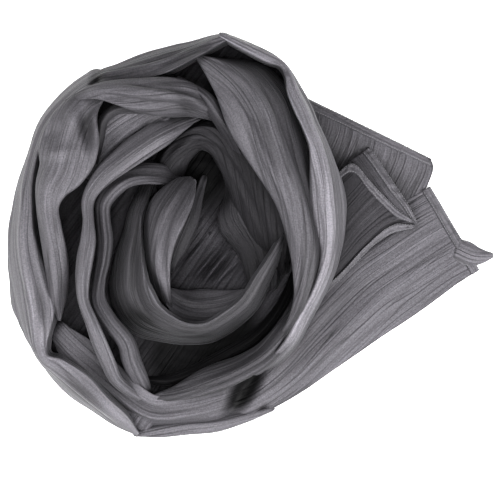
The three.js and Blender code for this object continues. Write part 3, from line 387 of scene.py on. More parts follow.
# How far the crinkles of a piece lean across it for each millimetre along, and how strong they are.
CRINKLE = {
 "right_band": (0.12, 1), "arch": (0.35, 0.9), "second_top": (-0.15, 1), "cup": (0.05, 0.7),
 "outer_top": (0.02, 0.8), "tail_panel": (0, 0.55), "tail_corner": (0, 0.3), "petal": (0.02, 0.8),
 "tail_back": (0, 0.5), "tail_flap": (0, 0.3), "tail_mid": (0, 0.4),
}

# Painted light and shade: how much lighter or darker each piece's copy of the one cloth is coloured, darker
# where it lies in shade, lighter where light falls on it.
PAINTED_TONE = {
 "arch": 0.46, "arch_lower": 0.6, "petal_inside": 0.5, "cup_inside": 1.3, "tail_flap": 0.36,
 "tail_mid": 0.6, "tail_back": 0.72, "groove_fold": 0.45, "base_layers": 1, "bottom_band": 0.68,
 "strand": 0.5, "cup": 1.25, "second_top": 0.72, "second_left": 0.9, "right_band": 0.82, "upper_roll": 0.7,
 "bottom_edge": 0.88, "tail_panel": 0.82, "upper_slope": 1.6, "outer_right": 1.6, "outer_left": 1.2,
 "outer_top": 1.15, "left_ridge": 0.9, "left_ridge_inner": 0.62, "petal": 0.76,
}

# How glossy a piece is, where its painted tone doesn't say it well enough.
SHINE = {"tail_panel": 0.5, "cup": 0.8, "outer_top": 0.5}

# How much lower than its solid a piece deep in the coil settles, millimetres.
SETTLED = {
 "arch": 4, "arch_lower": 4, "bottom_band": 3, "strand": 3, "upper_roll": 5, "left_ridge_inner": 3,
 "cup_inside": 3, "petal_inside": 5,
}

# Painted shade from the turns above: share of its sky taken from a piece all over, then more on its left
# side, and how far left of the crown that side begins.
SHADED = {
 "cup": (0, 0.69, -15), "groove_fold": (0.85, 0, 0), "arch": (0.5, 0, 0), "arch_lower": (0.45, 0, 0),
 "right_band": (0, 0.5, 13), "bottom_band": (0.4, 0, 0), "petal_inside": (0.35, 0, 0),
 "outer_top": (0.42, -0.42, 6),
}

# Soft painted shadows in plan, darkening the cloth as though it saw less of the sky: x, y, half length, half
# width, turn in degrees, share lost.
PAINTED_SHADOWS = {
 "tail_panel": [(34, -110, 36, 13, 59, 1.7), (47, -127, 9, 5, 40, 0.8)],
 "cup": [(-8, -75, 50, 14, -3, 1.3), (-40, -67, 36, 18, -48, 1.6), (27, -68, 26, 11, 38, 1.4)],
 "right_band": [(50, 74, 50, 15, -64, 0.4)],
 "second_left": [(-82, 82, 26, 10, 95, 0.5), (-112, 80, 12, 6, 30, 0.15), (-93, 66, 16, 6, 0, 0.15)],
 "second_top": [(-8, 98, 20, 12, -60, 0.45), (-52, 111, 26, 5, 0, 0.25)],
 "outer_top": [(-75, 119, 16, 9, 80, 1), (-2, 136, 26, 9, 25, 0.35)],
 "outer_left": [(-76, 118, 13, 8, 80, 0.9), (-84, -112, 34, 15, -40, 0.55), (-116, -50, 34, 7, 100, 0.4),
  (-112, 66, 40, 6, 75, 0.3)],
 "outer_right": [(61, 127, 9, 8, -45, 0.4), (92, 8, 50, 6, 95, 0.2), (58, -86, 30, 17, 45, 0.6)],
 "tail_flap": [(105, 20, 40, 24, 60, 0.25)],
 "tail_back": [(140, 46, 40, 16, -28, 0.3)],
}

# Broad dents and swells in plan: x, y, half length, half width, turn in degrees, height.
DENTS = {
 "second_left": [
  (-82, 81, 20, 8, 95, -7), (-94, 93, 17, 8, 95, 3.5), (-109, 77, 13, 8, 30, -3), (-105, 64, 20, 8, 10, 2.5),
  (-76, 63, 12, 6, 80, 2),
 ],
 "second_top": [
  (-27, 109, 14, 9, -60, 2.5), (-8, 100, 14, 8, -70, -3), (-62, 106, 16, 6, 0, -2),
 ],
 "tail_panel": [
  (33, -112, 36, 13, 59, -13), (47, -127, 7, 4, 40, -4), (18, -118, 14, 9, 75, 2),
  (150, -10, 40, 14, 35, 1.2), (120, -45, 36, 12, 38, -1.6), (96, -48, 30, 10, 45, 2),
  (70, -72, 26, 10, 40, -2.5),
 ],
 "outer_top": [
  (-75, 119, 13, 6, 80, -5), (-45, 124, 22, 7, 15, 1.5), (-12, 138, 16, 6, 20, -1.5),
 ],
 "outer_left": [
  (-75, 119, 15, 8, 80, -6), (-89, -109, 26, 7, -40, -2), (-126, -30, 30, 8, 95, 1.5),
  (-116, -48, 22, 6, 100, -3),
 ],
 "outer_right": [
  (62, 124, 7, 6, -45, -3), (74, 113, 12, 5, -60, 2),
 ],
 "right_band": [
  (36, 100, 18, 10, -50, 1.5), (58, 62, 22, 8, -60, -1.5),
 ],
 "tail_flap": [
  (120, 10, 26, 12, 60, -2), (105, -5, 24, 10, 55, 1.5),
 ],
}

# ---- the panels, from one edge of the cloth in, much as in the part ----
# Columns: x, y, z of the left end, x, y, z of the right end, rise between them.
PANELS = {
 "tail_back": [
  (173, 61, 1.6, 76, 108, 6, 1),
  (175, 54, 1.6, 74, 98, 6, 2),
  (172, 44, 1.6, 72, 84, 5, 2),
  (165, 30, 1.4, 70, 66, 4, 2),
  (158, 14, 1.2, 70, 46, 3, 1),
  (140, 0, 0.9, 72, 6, 2.4, 0.5),
 ],
 "tail_mid": [
  (127, 69, 6.5, 110, 58, 8, 1),
  (135, 58, 8, 116, 50, 10, 2),
  (145, 42, 8.5, 128, 39, 10, 2),
  (155, 27, 8.5, 142, 26, 9, 2),
  (163, 12, 7.5, 157, 12, 7.5, 0),
 ],
 "tail_flap": [
  (160, 9, 9, 158, 15, 9, 0),
  (139, 3, 11, 142, 28, 11, 2),
  (120, -13, 14, 127, 43, 17, 4),
  (101, -33, 18, 113, 57, 20, 6),
  (84, -48, 22, 96, 42, 24, 8),
 ],
}

# Hem columns: its piece, the piece it is sewn on, the side it follows, how strongly the sewing puckers it.
HEMS = [
  ("hem_back", "tail_back", "start", 0.4),
  ("hem_front", "tail_panel", "start", 0.4),
  ("hem_mid", "tail_mid", "left", 0.9),
  ("hem_flap_upper", "tail_flap", "right", 1.1),
  ("hem_flap_lower", "tail_flap", "left", 1.1),
]

# Gathers across a panel from its start: pitch, height, how far they reach.
RIBS = {"tail_back": (3.3, 0.5, 16)}

# ---- the hidden turns: rim and eye in plan, and height at shares of the way out from the eye ----
BASE_RIM = [
  (97, 2), (90, -24), (72, -52), (50, -76), (24, -95), (-4, -113), (-30, -134), (-45, -142), (-72, -122),
  (-98, -99), (-115, -76), (-124, -46), (-126, -15), (-122, 15), (-114, 50), (-104, 82), (-86, 105),
  (-55, 117), (-20, 130), (8, 144), (19, 149), (32, 143), (50, 135), (63, 128), (71, 114), (80, 90),
  (91, 64), (97, 36),
]
BASE_EYE = (8, 5)
BASE_HEIGHTS = [(0, 14.5), (0.14, 14.5), (0.28, 16), (0.42, 16), (0.6, 15), (0.8, 16), (0.93, 15), (1, 10)]
# Painted shade on them, as though they saw less of the sky: x, y, reach, share lost.
BASE_PAINTED_SHADOWS = [(0, 50, 46, 0.97), (-12, -88, 52, 0.95), (24, -73, 40, 0.95)]

# ---- shape functions ----

def between(a, b, c, d, share):
    """Points at shares of the way from b to c, on the smooth curve through a, b, c and d."""
    return 0.5 * (2 * b + (c - a) * share + (2 * a - 5 * b + 4 * c - d) * share ** 2
                  + (3 * b - a - 3 * c + d) * share ** 3)


def curve(points, at):
    """Points of a smooth open curve at shares of its length in rows."""
    last = len(points) - 1
    place = np.clip(at, 0, 1) * last
    i = np.clip(np.floor(place).astype(int), 0, last - 1)
    a, b, c, d = points[np.clip(i - 1, 0, last)], points[i], points[i + 1], points[np.clip(i + 2, 0, last)]
    a = np.where((i == 0)[:, None], 2 * b - c, a)
    d = np.where((i == last - 1)[:, None], 2 * c - b, d)
    return between(a, b, c, d, (place - i)[:, None])


def closed_curve(points, count):
    """So many points of a smooth closed curve."""
    n = len(points)
    place = np.linspace(0, n, count, endpoint=False)
    i = np.floor(place).astype(int)
    corners = [points[(i + k) % n] for k in (-1, 0, 1, 2)]
    return between(*corners, (place - i)[:, None])


def runs(points):
    """How far along its first axis each point of a line or grid lies."""
    steps = np.cumsum(np.linalg.norm(np.diff(points, axis=0), axis=-1), axis=0)
    return np.concatenate([np.zeros_like(steps[:1]), steps])


def point_at(at, run, line):
    """The point so far along a line."""
    return np.array([np.interp(at, run, line[:, k]) for k in range(line.shape[1])])


def turned(x, y, angle):
    """Plan places measured along and across a direction."""
    c, s = math.cos(angle), math.sin(angle)
    return x * c + y * s, y * c - x * s


def noise(u, v, seed):
    """Smooth seeded noise from -1 to 1 over two coordinates."""
    lattice = np.random.RandomState(seed).uniform(-1, 1, (LATTICE, LATTICE))
    iu, iv = np.floor(u).astype(int), np.floor(v).astype(int)
    fu, fv = u - iu, v - iv
    fu, fv = fu * fu * (3 - 2 * fu), fv * fv * (3 - 2 * fv)
    iu, iv, next_u, next_v = iu % LATTICE, iv % LATTICE, (iu + 1) % LATTICE, (iv + 1) % LATTICE
    low = lattice[iu, iv] * (1 - fu) + lattice[next_u, iv] * fu
    high = lattice[iu, next_v] * (1 - fu) + lattice[next_u, next_v] * fu
    return low * (1 - fv) + high * fv


def normals(grid):
    """Unit normals of a grid, on the side that faces up at the crown."""
    n = -np.cross(np.gradient(grid, axis=0), np.gradient(grid, axis=1))
    return n / np.maximum(np.linalg.norm(n, axis=2, keepdims=True), 1e-9)


def lifted(grid, lift):
    """The grid with each point moved out along its normal."""
    return grid + normals(grid) * lift[:, :, None]


def section(row, legs, feet, skew, flare):
    """A row's section from its left foot over the crown to its right foot: places left, and heights."""
    wide, left, crown, right = row[2:]
    half = wide / 2
    flare *= min(max((wide - FLARE_FROM) / FLARE_OVER, 0), 1)
    crest = CREST * crown + CREST_SWELL * wide
    return [
        (half + feet[0] + flare, left - legs[0]),
        (half + KNEE_REACH * feet[0] + 0.5 * flare, left - KNEE_DROP * legs[0]),
        (half, left),
        (half * (0.5 + CREST_LEAN * skew), (1 - CREST) * left + crest),
        (half * skew, crown),
        (-half * (0.5 - CREST_LEAN * skew), (1 - CREST) * right + crest),
        (-half, right),
        (-half - KNEE_REACH * feet[1], right - KNEE_DROP * legs[1]),
        (-half - feet[1], right - legs[1])]


def even_rows(rows, spacing):
    """A table's rows on a smooth curve, evenly spaced in plan, and the length of the curve."""
    fine = curve(np.array(rows, float), np.linspace(0, 1, FINE_ROWS * len(rows)))
    run = runs(fine[:, :2])
    at = np.linspace(0, run[-1], round(run[-1] / spacing))
    return np.stack([np.interp(at, run, fine[:, k]) for k in range(fine.shape[1])], 1), run[-1]


def tucked(rows, tuck):
    """The rows with each end run on by so many millimetres, narrowing and sinking under what covers it."""
    parts = [rows]
    share = np.arange(1, TUCK_STEPS + 1)[:, None] / TUCK_STEPS
    for end, reach in ((0, tuck[0]), (-1, tuck[1])):
        if reach <= 0:
            continue
        step = rows[end, :2] - rows[1 if end == 0 else -2, :2]
        more = np.repeat(rows[end][None, :], TUCK_STEPS, 0)
        more[:, :2] += step / np.linalg.norm(step) * reach * np.sin(share * math.pi / 2)
        more[:, 2:3] *= 1 - TUCK_NARROWS * share ** 2
        more[:, 3:] -= TUCK_SINKS * reach * (1 - np.cos(share * math.pi / 2))
        parts = [more[::-1], *parts] if end == 0 else [*parts, more]
    return np.concatenate(parts)


def directions(rows):
    """Each row's unit direction along the stretch in plan, smoothed."""
    ahead = np.gradient(rows[:, :2], axis=0)
    ahead /= np.linalg.norm(ahead, axis=1)[:, None]
    for _ in range(SMOOTHINGS):
        ahead[1:-1] = (ahead[:-2] + 2 * ahead[1:-1] + ahead[2:]) / 4
        ahead /= np.linalg.norm(ahead, axis=1)[:, None]
    return ahead


def sections(rows, legs, feet, skew=0, flare=0):
    """The rows' sections as points, and how far left of the crown along the cloth each point lies."""
    corners = np.array([section(row, legs, feet, skew, flare) for row in rows]).transpose(1, 0, 2)
    fine = curve(corners.reshape(len(corners), -1), np.linspace(0, 1, FINE + 1))
    fine = fine.reshape(FINE + 1, len(rows), 2)
    run = runs(fine)
    marks = run[[0, FINE // 4, FINE * 3 // 4, FINE]]
    down, over, down_right = [max(FEWEST, round(np.percentile(marks[k + 1] - marks[k], USUAL_WIDE) / step))
                              for k, step in enumerate((TURNED, ACROSS, TURNED))]
    points, left = [], []
    for i, (foot, shoulder, far_shoulder, far_foot) in enumerate(marks.T):
        at = np.concatenate([np.linspace(foot, shoulder, down, endpoint=False),
                             np.linspace(shoulder, far_shoulder, over, endpoint=False),
                             np.linspace(far_shoulder, far_foot, down_right + 1)])
        points.append(point_at(at, run[:, i], fine[:, i]).T)
        left.append(run[FINE // 2, i] - at)
    return np.array(points), np.array(left)


def ridge(share, across, high):
    """Heights of a fold that swells and dies out along its length, at places across it from -1 to 1."""
    return high * np.sin(np.pi * share) ** FOLD_ENDS * 0.5 * (1 + np.cos(np.pi * np.clip(across, -1, 1)))


def creased(share, left, folds, low, soft):
    """How far the folds of a table lift each point, at shares along and millimetres left of the crown."""
    lift = np.zeros_like(left)
    for begin, stop, start, end, high, wide in folds:
        k = np.clip((share - begin) / (stop - begin), 0, 1)
        lift += ridge(k, (left - (start + (end - start) * k)) / (wide * soft), high * low)
    return lift


def lined(grid, lines):
    """How far creases given by their two ends in plan lift each point of a grid."""
    lift = np.zeros(grid.shape[:2])
    for x0, y0, x1, y1, high, wide in lines:
        run = math.hypot(x1 - x0, y1 - y0)
        tx, ty = (x1 - x0) / run, (y1 - y0) / run
        dx, dy = grid[:, :, 0] - x0, grid[:, :, 1] - y0
        lift += ridge(np.clip((dx * tx + dy * ty) / run, 0, 1), (dy * tx - dx * ty) / wide, high)
    return lift


def dented(points, dents):
    """How far broad soft dents and swells, given in plan, lift each point."""
    lift = np.zeros(points.shape[:-1])
    for x, y, long, wide, turn, high in dents:
        along, across = turned(points[..., 0] - x, points[..., 1] - y, math.radians(turn))
        reach = np.hypot(along / long, across / wide)
        lift += high * 0.5 * (1 + np.cos(np.pi * np.clip(reach, 0, 1)))
    return lift


def places(along, across, seed):
    """Each point's place on the cloth, which the chiffon's patterns follow."""
    return np.stack([along, across, np.full_like(along, seed * PIECE_STEP)], 2)


def crinkled(name, grid, along, left, seed):
    """A piece's grid with its long fine crinkles, kept off the ground, and its places on the cloth."""
    lean, amount = CRINKLE.get(name, CRINKLE_USUAL)
    left = left + lean * along
    lift = sum(high * noise(along / long + start, left / wide, seed + k)
               for k, (high, long, wide, start) in enumerate(CRINKLES))
    grid = lifted(grid, amount * lift)
    grid[:, :, 2] = np.maximum(grid[:, :, 2], LOWEST_FACE)
    return grid, places(along, left, seed)


def stretch_grid(name, seed):
    """The outer face of a stretch, and its places on the cloth."""
    shape = dict(STRETCHES[name])
    rows, folds = shape.pop("rows"), shape.pop("folds", [])
    rows, length = even_rows(rows, ALONG)
    rows[:, 3:] -= SETTLED.get(name, 0)
    shown = len(rows)
    tuck = TUCK.get(name, TUCK_USUAL)
    before = TUCK_STEPS if tuck[0] > 0 else 0
    rows = tucked(rows, tuck)
    ahead = directions(rows)
    leftward = np.stack([-ahead[:, 1], ahead[:, 0]], 1)
    points, left = sections(rows, **shape)
    grid = np.concatenate([rows[:, None, :2] + leftward[:, None] * points[:, :, :1], points[:, :, 1:]], 2)

    number = np.arange(len(rows))
    for end, outward, reach in zip((0, -1), (-1, 1), SLANT.get(name, (0, 0))):
        near = np.clip(1 - np.abs(number - number[end]) / SLANT_ROWS, 0, 1)[:, None]
        down = np.clip((left - SLANT_FROM) / SLANT_OVER, 0, 1)
        grid[:, :, :2] += ahead[end] * outward * (reach * near * down)[:, :, None]

    share = ((number - before) / (shown - 1))[:, None] + 0 * left
    grid = lifted(grid, creased(share, left, folds, FOLD_LOW, FOLD_SOFT)
                  + creased(share, left, CREASES.get(name, []), CREASE_LOW, CREASE_SOFT))
    grid[:, :, 2] += dented(grid, DENTS.get(name, []))
    grid = lifted(grid, lined(grid, PLAN_CREASES.get(name, [])))
    return crinkled(name, grid, share * length, left, seed)


def panel_grid(name, seed):
    """The upper face of a panel, from its left ends to its right ends, and its places on the cloth."""
    table = np.array(PANELS[name], float)
    fine = curve(table, np.linspace(0, 1, PANEL_FINE))
    length = runs((fine[:, :3] + fine[:, 3:6]) / 2)[-1]
    width = np.linalg.norm(table[:, :3] - table[:, 3:6], axis=1).max()
    long, wide = round(length / PANEL_STEP), round(width / PANEL_STEP)
    rows = curve(table, np.linspace(0, 1, long))
    share = np.linspace(0, 1, wide)[None, :]
    grid = rows[:, None, 0:3] * (1 - share[:, :, None]) + rows[:, None, 3:6] * share[:, :, None]
    grid[:, :, 2] += rows[:, 6][:, None] * np.sin(np.pi * share)
    along = np.linspace(0, length, long)[:, None] + 0 * share
    across = share * np.linalg.norm(rows[:, :3] - rows[:, 3:6], axis=1)[:, None]
    if name in RIBS:
        pitch, high, reach = RIBS[name]
        wander = RIB_WANDER * noise(across / RIB_PATCH, along / RIB_PATCH, seed + 5)
        grid[:, :, 2] += high * np.sin(2 * math.pi * across / pitch + wander) * np.exp(-along / reach)
    grid = lifted(grid, dented(grid, DENTS.get(name, [])))
    return crinkled(name, grid, along, across, seed)


def hem_grid(grid, side):
    """The points of a panel within a hem's width of its start, left or right side, from that side in."""
    lines = {"start": grid.transpose(1, 0, 2)[HEM_INSET:-HEM_INSET], "left": grid, "right": grid[::-1, ::-1]}
    hem = []
    for line in lines[side]:
        run = runs(line)
        wide = min(HEM_WIDTH, HEM_MAX_SHARE * run[-1])
        hem.append([point_at(share * wide, run, line) for share in np.linspace(0, 1, HEM_PARTS)])
    return np.array(hem).transpose(1, 0, 2)


def hem_face(grid, side, puckered, seed):
    """The upper face of a puffy hem along one side of a panel, its normals and its places on the cloth."""
    hem = hem_grid(grid, side)
    if normals(hem)[:, :, 2].mean() < 0:
        hem = hem[::-1]
    up = normals(hem)
    share = np.linspace(0, 1, HEM_PARTS)[:, None]
    run = np.cumsum(np.linalg.norm(np.gradient(hem[HEM_PARTS // 2], axis=0), axis=1))[None, :] + 0 * share
    arch = np.sin(np.pi * share)
    dome = np.clip(arch, 0, 1) ** HEM_ROUND - HEM_DIP * np.exp(-((share - 0.5) / HEM_DIP_WIDE) ** 2)
    pucker = (noise(run / PUCKER_PITCH, share * PUCKER_ACROSS, seed) * arch
              + WAVE_SHARE * noise(run / WAVE_PITCH, share, seed + 1))
    height = HEM_GAP + HEM_WALL * (HEM_FLAT + (1 - HEM_FLAT) * dome) + puckered * pucker
    return hem + up * height[:, :, None], up, places(run, share * HEM_WIDTH + 0 * run, seed)


# ---- how deep each point lies in the coil, for the shade painted into its colour ----

def height_map(grids):
    """The highest point over each square millimetre of the plan, and the plan's low corner."""
    points = np.concatenate([grid.reshape(-1, 3) for grid in grids])
    plan = points[:, :2]
    low = plan.min(0) - SKY_MARGIN
    heights = np.zeros(np.ceil(plan.max(0) + SKY_MARGIN - low).astype(int))
    for side in ((0, 0), (1, 0), (0, 1), (-1, 0), (0, -1)):
        at = np.floor(plan + SKY_SPREAD * np.array(side) - low).astype(int)
        np.maximum.at(heights, (at[:, 0], at[:, 1]), points[:, 2])
    return heights, low


def open_sky(points, heights, low):
    """The share of the sky that each point sees over the heights around it."""
    seen = np.zeros(len(points))
    for k in range(SKY_TURNS):
        angle = 2 * math.pi * k / SKY_TURNS + SKY_START
        way = np.array((math.cos(angle), math.sin(angle)))
        rise = np.zeros(len(points))
        for reach in SKY_REACHES:
            at = np.clip((points[:, :2] + reach * way - low).astype(int), 0, np.array(heights.shape) - 1)
            rise = np.maximum(rise, (heights[at[:, 0], at[:, 1]] - points[:, 2] - SKY_SLACK) / reach)
        seen += 1 / (1 + rise ** 2)
    return seen / SKY_TURNS


def shade(name, points, left):
    """The share of painted shade that the SHADED row and the painted shadows in plan put on each point of a
    piece.
    """
    whole, side, start = SHADED.get(name, (0, 0, 0))
    painted_shade_share = whole + side * np.clip((left - start) / SHADE_OVER, 0, 1)
    patch_shade = np.clip(dented(points, PAINTED_SHADOWS.get(name, [])), 0, SHADE_MOST)
    return 1 - (1 - painted_shade_share) * (1 - patch_shade)


# ---- meshes ----

def linked(name, data):
    """A new object in the scene."""
    made = bpy.data.objects.new(name, data)
    bpy.context.scene.collection.objects.link(made)
    return made


def mesh_object(name, points, faces, flow, material, painted_shade_share=0.0):
    """A mesh of points in table millimetres, with each point's place on the cloth and the shade painted into
    its colour.
    """
    mesh = bpy.data.meshes.new(name)
    places_in_metres = (points + np.array(SHIFT)) * MM
    mesh.vertices.add(len(points))
    mesh.vertices.foreach_set("co", places_in_metres.astype(np.float32).ravel())
    mesh.loops.add(faces.size)
    mesh.loops.foreach_set("vertex_index", faces.astype(np.int32).ravel())
    mesh.polygons.add(len(faces))
    mesh.polygons.foreach_set("loop_start", np.arange(0, faces.size, faces.shape[1], dtype=np.int32))
    mesh.polygons.foreach_set("use_smooth", np.ones(len(faces), bool))
    mesh.update(calc_edges=True)
    mesh.validate()
    if flow is not None:
        facing = np.zeros(3 * len(points), np.float32)
        mesh.vertices.foreach_get("normal", facing)
        # Painted shade: darker where the point sees little sky, where the piece's shade tables say, and where
        # the cloth stands upright.
        painted_shade = np.clip((open_sky(points, *HEIGHTS) - DEEP) / (OPEN - DEEP), 0, 1)
        painted_shade = (DEEP_TONE + (1 - DEEP_TONE) * painted_shade ** DARKENING) * (1 - painted_shade_share)
        painted_shade *= 1 - UPRIGHT * (1 - np.clip(facing[2::3], 0, 1))
        attribute = mesh.attributes.new("flow", "FLOAT_VECTOR", "POINT")
        attribute.data.foreach_set("vector", flow.astype(np.float32).ravel())
        attribute = mesh.attributes.new("painted_shade", "FLOAT", "POINT")
        attribute.data.foreach_set("value", painted_shade.astype(np.float32))
    mesh.materials.append(material)
    return linked(name, mesh)


def shell(name, grid, flow, material, thick=CLOTH):
    """A piece of cloth as a closed thin sheet whose outer face is the grid."""
    inner = lifted(grid, np.full(grid.shape[:2], -thick))
    inner[:, :, 2] = np.maximum(inner[:, :, 2], LOWEST_BACK)
    out = np.arange(grid[:, :, 0].size).reshape(grid.shape[:2])
    back = out + out.size
    quads = [np.stack([out[:-1, :-1], out[:-1, 1:], out[1:, 1:], out[1:, :-1]], -1).reshape(-1, 4),
             np.stack([back[:-1, :-1], back[1:, :-1], back[1:, 1:], back[:-1, 1:]], -1).reshape(-1, 4)]
    for rim in ((0, slice(None, None, -1)), (-1, slice(None)), (slice(None), 0), (slice(None, None, -1), -1)):
        a, b = out[rim], back[rim]
        quads.append(np.stack([a[:-1], a[1:], b[1:], b[:-1]], -1))
    points = np.concatenate([grid.reshape(-1, 3), inner.reshape(-1, 3)])
    flow = np.concatenate([flow.reshape(-1, 3), flow.reshape(-1, 3)])
    painted_shade_share = shade(name, points, flow[:, 1])
    return mesh_object("cloth_" + name, points, np.concatenate(quads), flow, material, painted_shade_share)


def base_grid(seed):
    """The hidden turns as one rounded, dished form with the ridges of its turns: upper face, places, rim."""
    rim = closed_curve(np.array(BASE_RIM, float), BASE_AROUND)
    eye = np.array(BASE_EYE, float)
    out = np.linspace(BASE_START, 1, BASE_OUT)[None, :]
    grid = np.zeros((BASE_AROUND, BASE_OUT, 3))
    grid[:, :, :2] = eye + (rim[:, None] - eye) * out[:, :, None]
    x, y = grid[:, :, 0], grid[:, :, 1]
    steps = np.array(BASE_HEIGHTS)
    at = np.interp(out[0], steps[:, 0], np.linspace(0, 1, len(steps)))
    grid[:, :, 2] = curve(steps[:, 1:], at)[:, 0]
    turn = np.linspace(0, 1, BASE_AROUND, endpoint=False)[:, None]
    winding = np.linalg.norm(rim - eye, axis=1)[:, None] * out / RIDGE_PITCH + turn
    winding += RIDGE_WANDER * noise(x / RIDGE_PATCH + RIDGE_PLACE, y / RIDGE_PATCH + RIDGE_PLACE, seed)
    shown = (np.clip((out - RIDGES_FROM) / RIDGES_RISE, 0, 1)
             * np.clip((RIDGES_TO - out) / RIDGES_FALL, 0, 1))
    lift = RIDGE_HIGH * np.sin(2 * math.pi * winding) * shown + lined(grid, PLAN_CREASES["base_layers"])
    grid[:, :, 2] = np.maximum(grid[:, :, 2] + lift, BASE_LOWEST)
    return grid, places(*turned(x, y, BASE_TURN), seed), rim


def base_object(grid, flow, rim, material):
    """The hidden turns' upper face closed by a flat underside, with shade painted into its hollows."""
    around, out = grid.shape[:2]
    eye = np.array(BASE_EYE, float)
    foot = grid[:, -1:].copy()
    foot[:, :, :2] = eye + (rim[:, None] - eye) * BASE_FOOT_SHARE
    foot[:, :, 2] = BASE_FOOT
    points = np.concatenate([np.concatenate([grid, foot], 1).reshape(-1, 3),
                             [[*eye, grid[:, 0, 2].mean()], [*eye, BASE_FOOT]]])
    flow = np.concatenate([np.concatenate([flow, flow[:, -1:]], 1).reshape(-1, 3), np.zeros((2, 3))])
    at = np.arange(around * (out + 1)).reshape(around, out + 1)
    after = np.roll(at, -1, 0)
    p, q, r, s = at[:, :-1].ravel(), after[:, :-1].ravel(), after[:, 1:].ravel(), at[:, 1:].ravel()
    top, bottom = len(points) - 2, len(points) - 1
    faces = np.concatenate([np.stack([p, r, s], 1), np.stack([p, q, r], 1),
                            np.stack([np.full(around, top), after[:, 0], at[:, 0]], 1),
                            np.stack([np.full(around, bottom), at[:, -1], after[:, -1]], 1)])
    # Painted shade in the listed patches, as though they saw less of the sky.
    seen = np.ones(len(points))
    for x, y, reach, lost in BASE_PAINTED_SHADOWS:
        away = np.hypot(points[:, 0] - x, points[:, 1] - y)
        share = np.clip(BASE_SHADOW_EDGE * (1 - away / reach), 0, 1)
        seen *= 1 - lost * share ** 2 * (3 - 2 * share)
    return mesh_object("hidden_turns", points, faces, flow, material, 1 - seen)


def stitch_object(name, seams, material):
    """Rows of short lockstitches along lines of points with their normals, as one joined mesh."""
    points, faces = [], []
    angles = np.linspace(0, 2 * math.pi, STITCH_SIDES, endpoint=False)
    for line, up in seams:
        run = runs(line)
        for at in np.arange(STITCH_PITCH, run[-1] - STITCH_PITCH, STITCH_PITCH):
            start, end = [point_at(at + side * STITCH_LONG / 2, run, line) for side in (-1, 1)]
            centre, along = (start + end) / 2, end - start
            along /= np.linalg.norm(along)
            across = np.cross(along, point_at(at, run, up))
            across /= np.linalg.norm(across)
            out = np.cross(across, along)
            first = len(points)
            for side in (-STITCH_BODY, STITCH_BODY):
                for angle in angles:
                    away = math.cos(angle) * across + math.sin(angle) * out
                    points.append(centre + along * side * STITCH_LONG + STITCH_THICK * away)
            for side in (-1, 1):
                points.append(centre + side * along * STITCH_LONG / 2 - out * STITCH_THICK)
            tip, far_tip = first + 2 * STITCH_SIDES, first + 2 * STITCH_SIDES + 1
            for k in range(STITCH_SIDES):
                a, b = first + k, first + (k + 1) % STITCH_SIDES
                c, d = a + STITCH_SIDES, b + STITCH_SIDES
                faces += [(a, d, b), (a, c, d), (tip, a, b), (far_tip, d, c)]
    return mesh_object(name, np.array(points), np.array(faces), None, material)


# ---- materials ----

def new_material(name, roughness):
    """A material, its nodes, its links and its shader."""
    material = bpy.data.materials.new(name)
    material.use_nodes = True
    shader = material.node_tree.nodes["Principled BSDF"]
    shader.inputs["Roughness"].default_value = roughness
    return material, material.node_tree.nodes, material.node_tree.links, shader


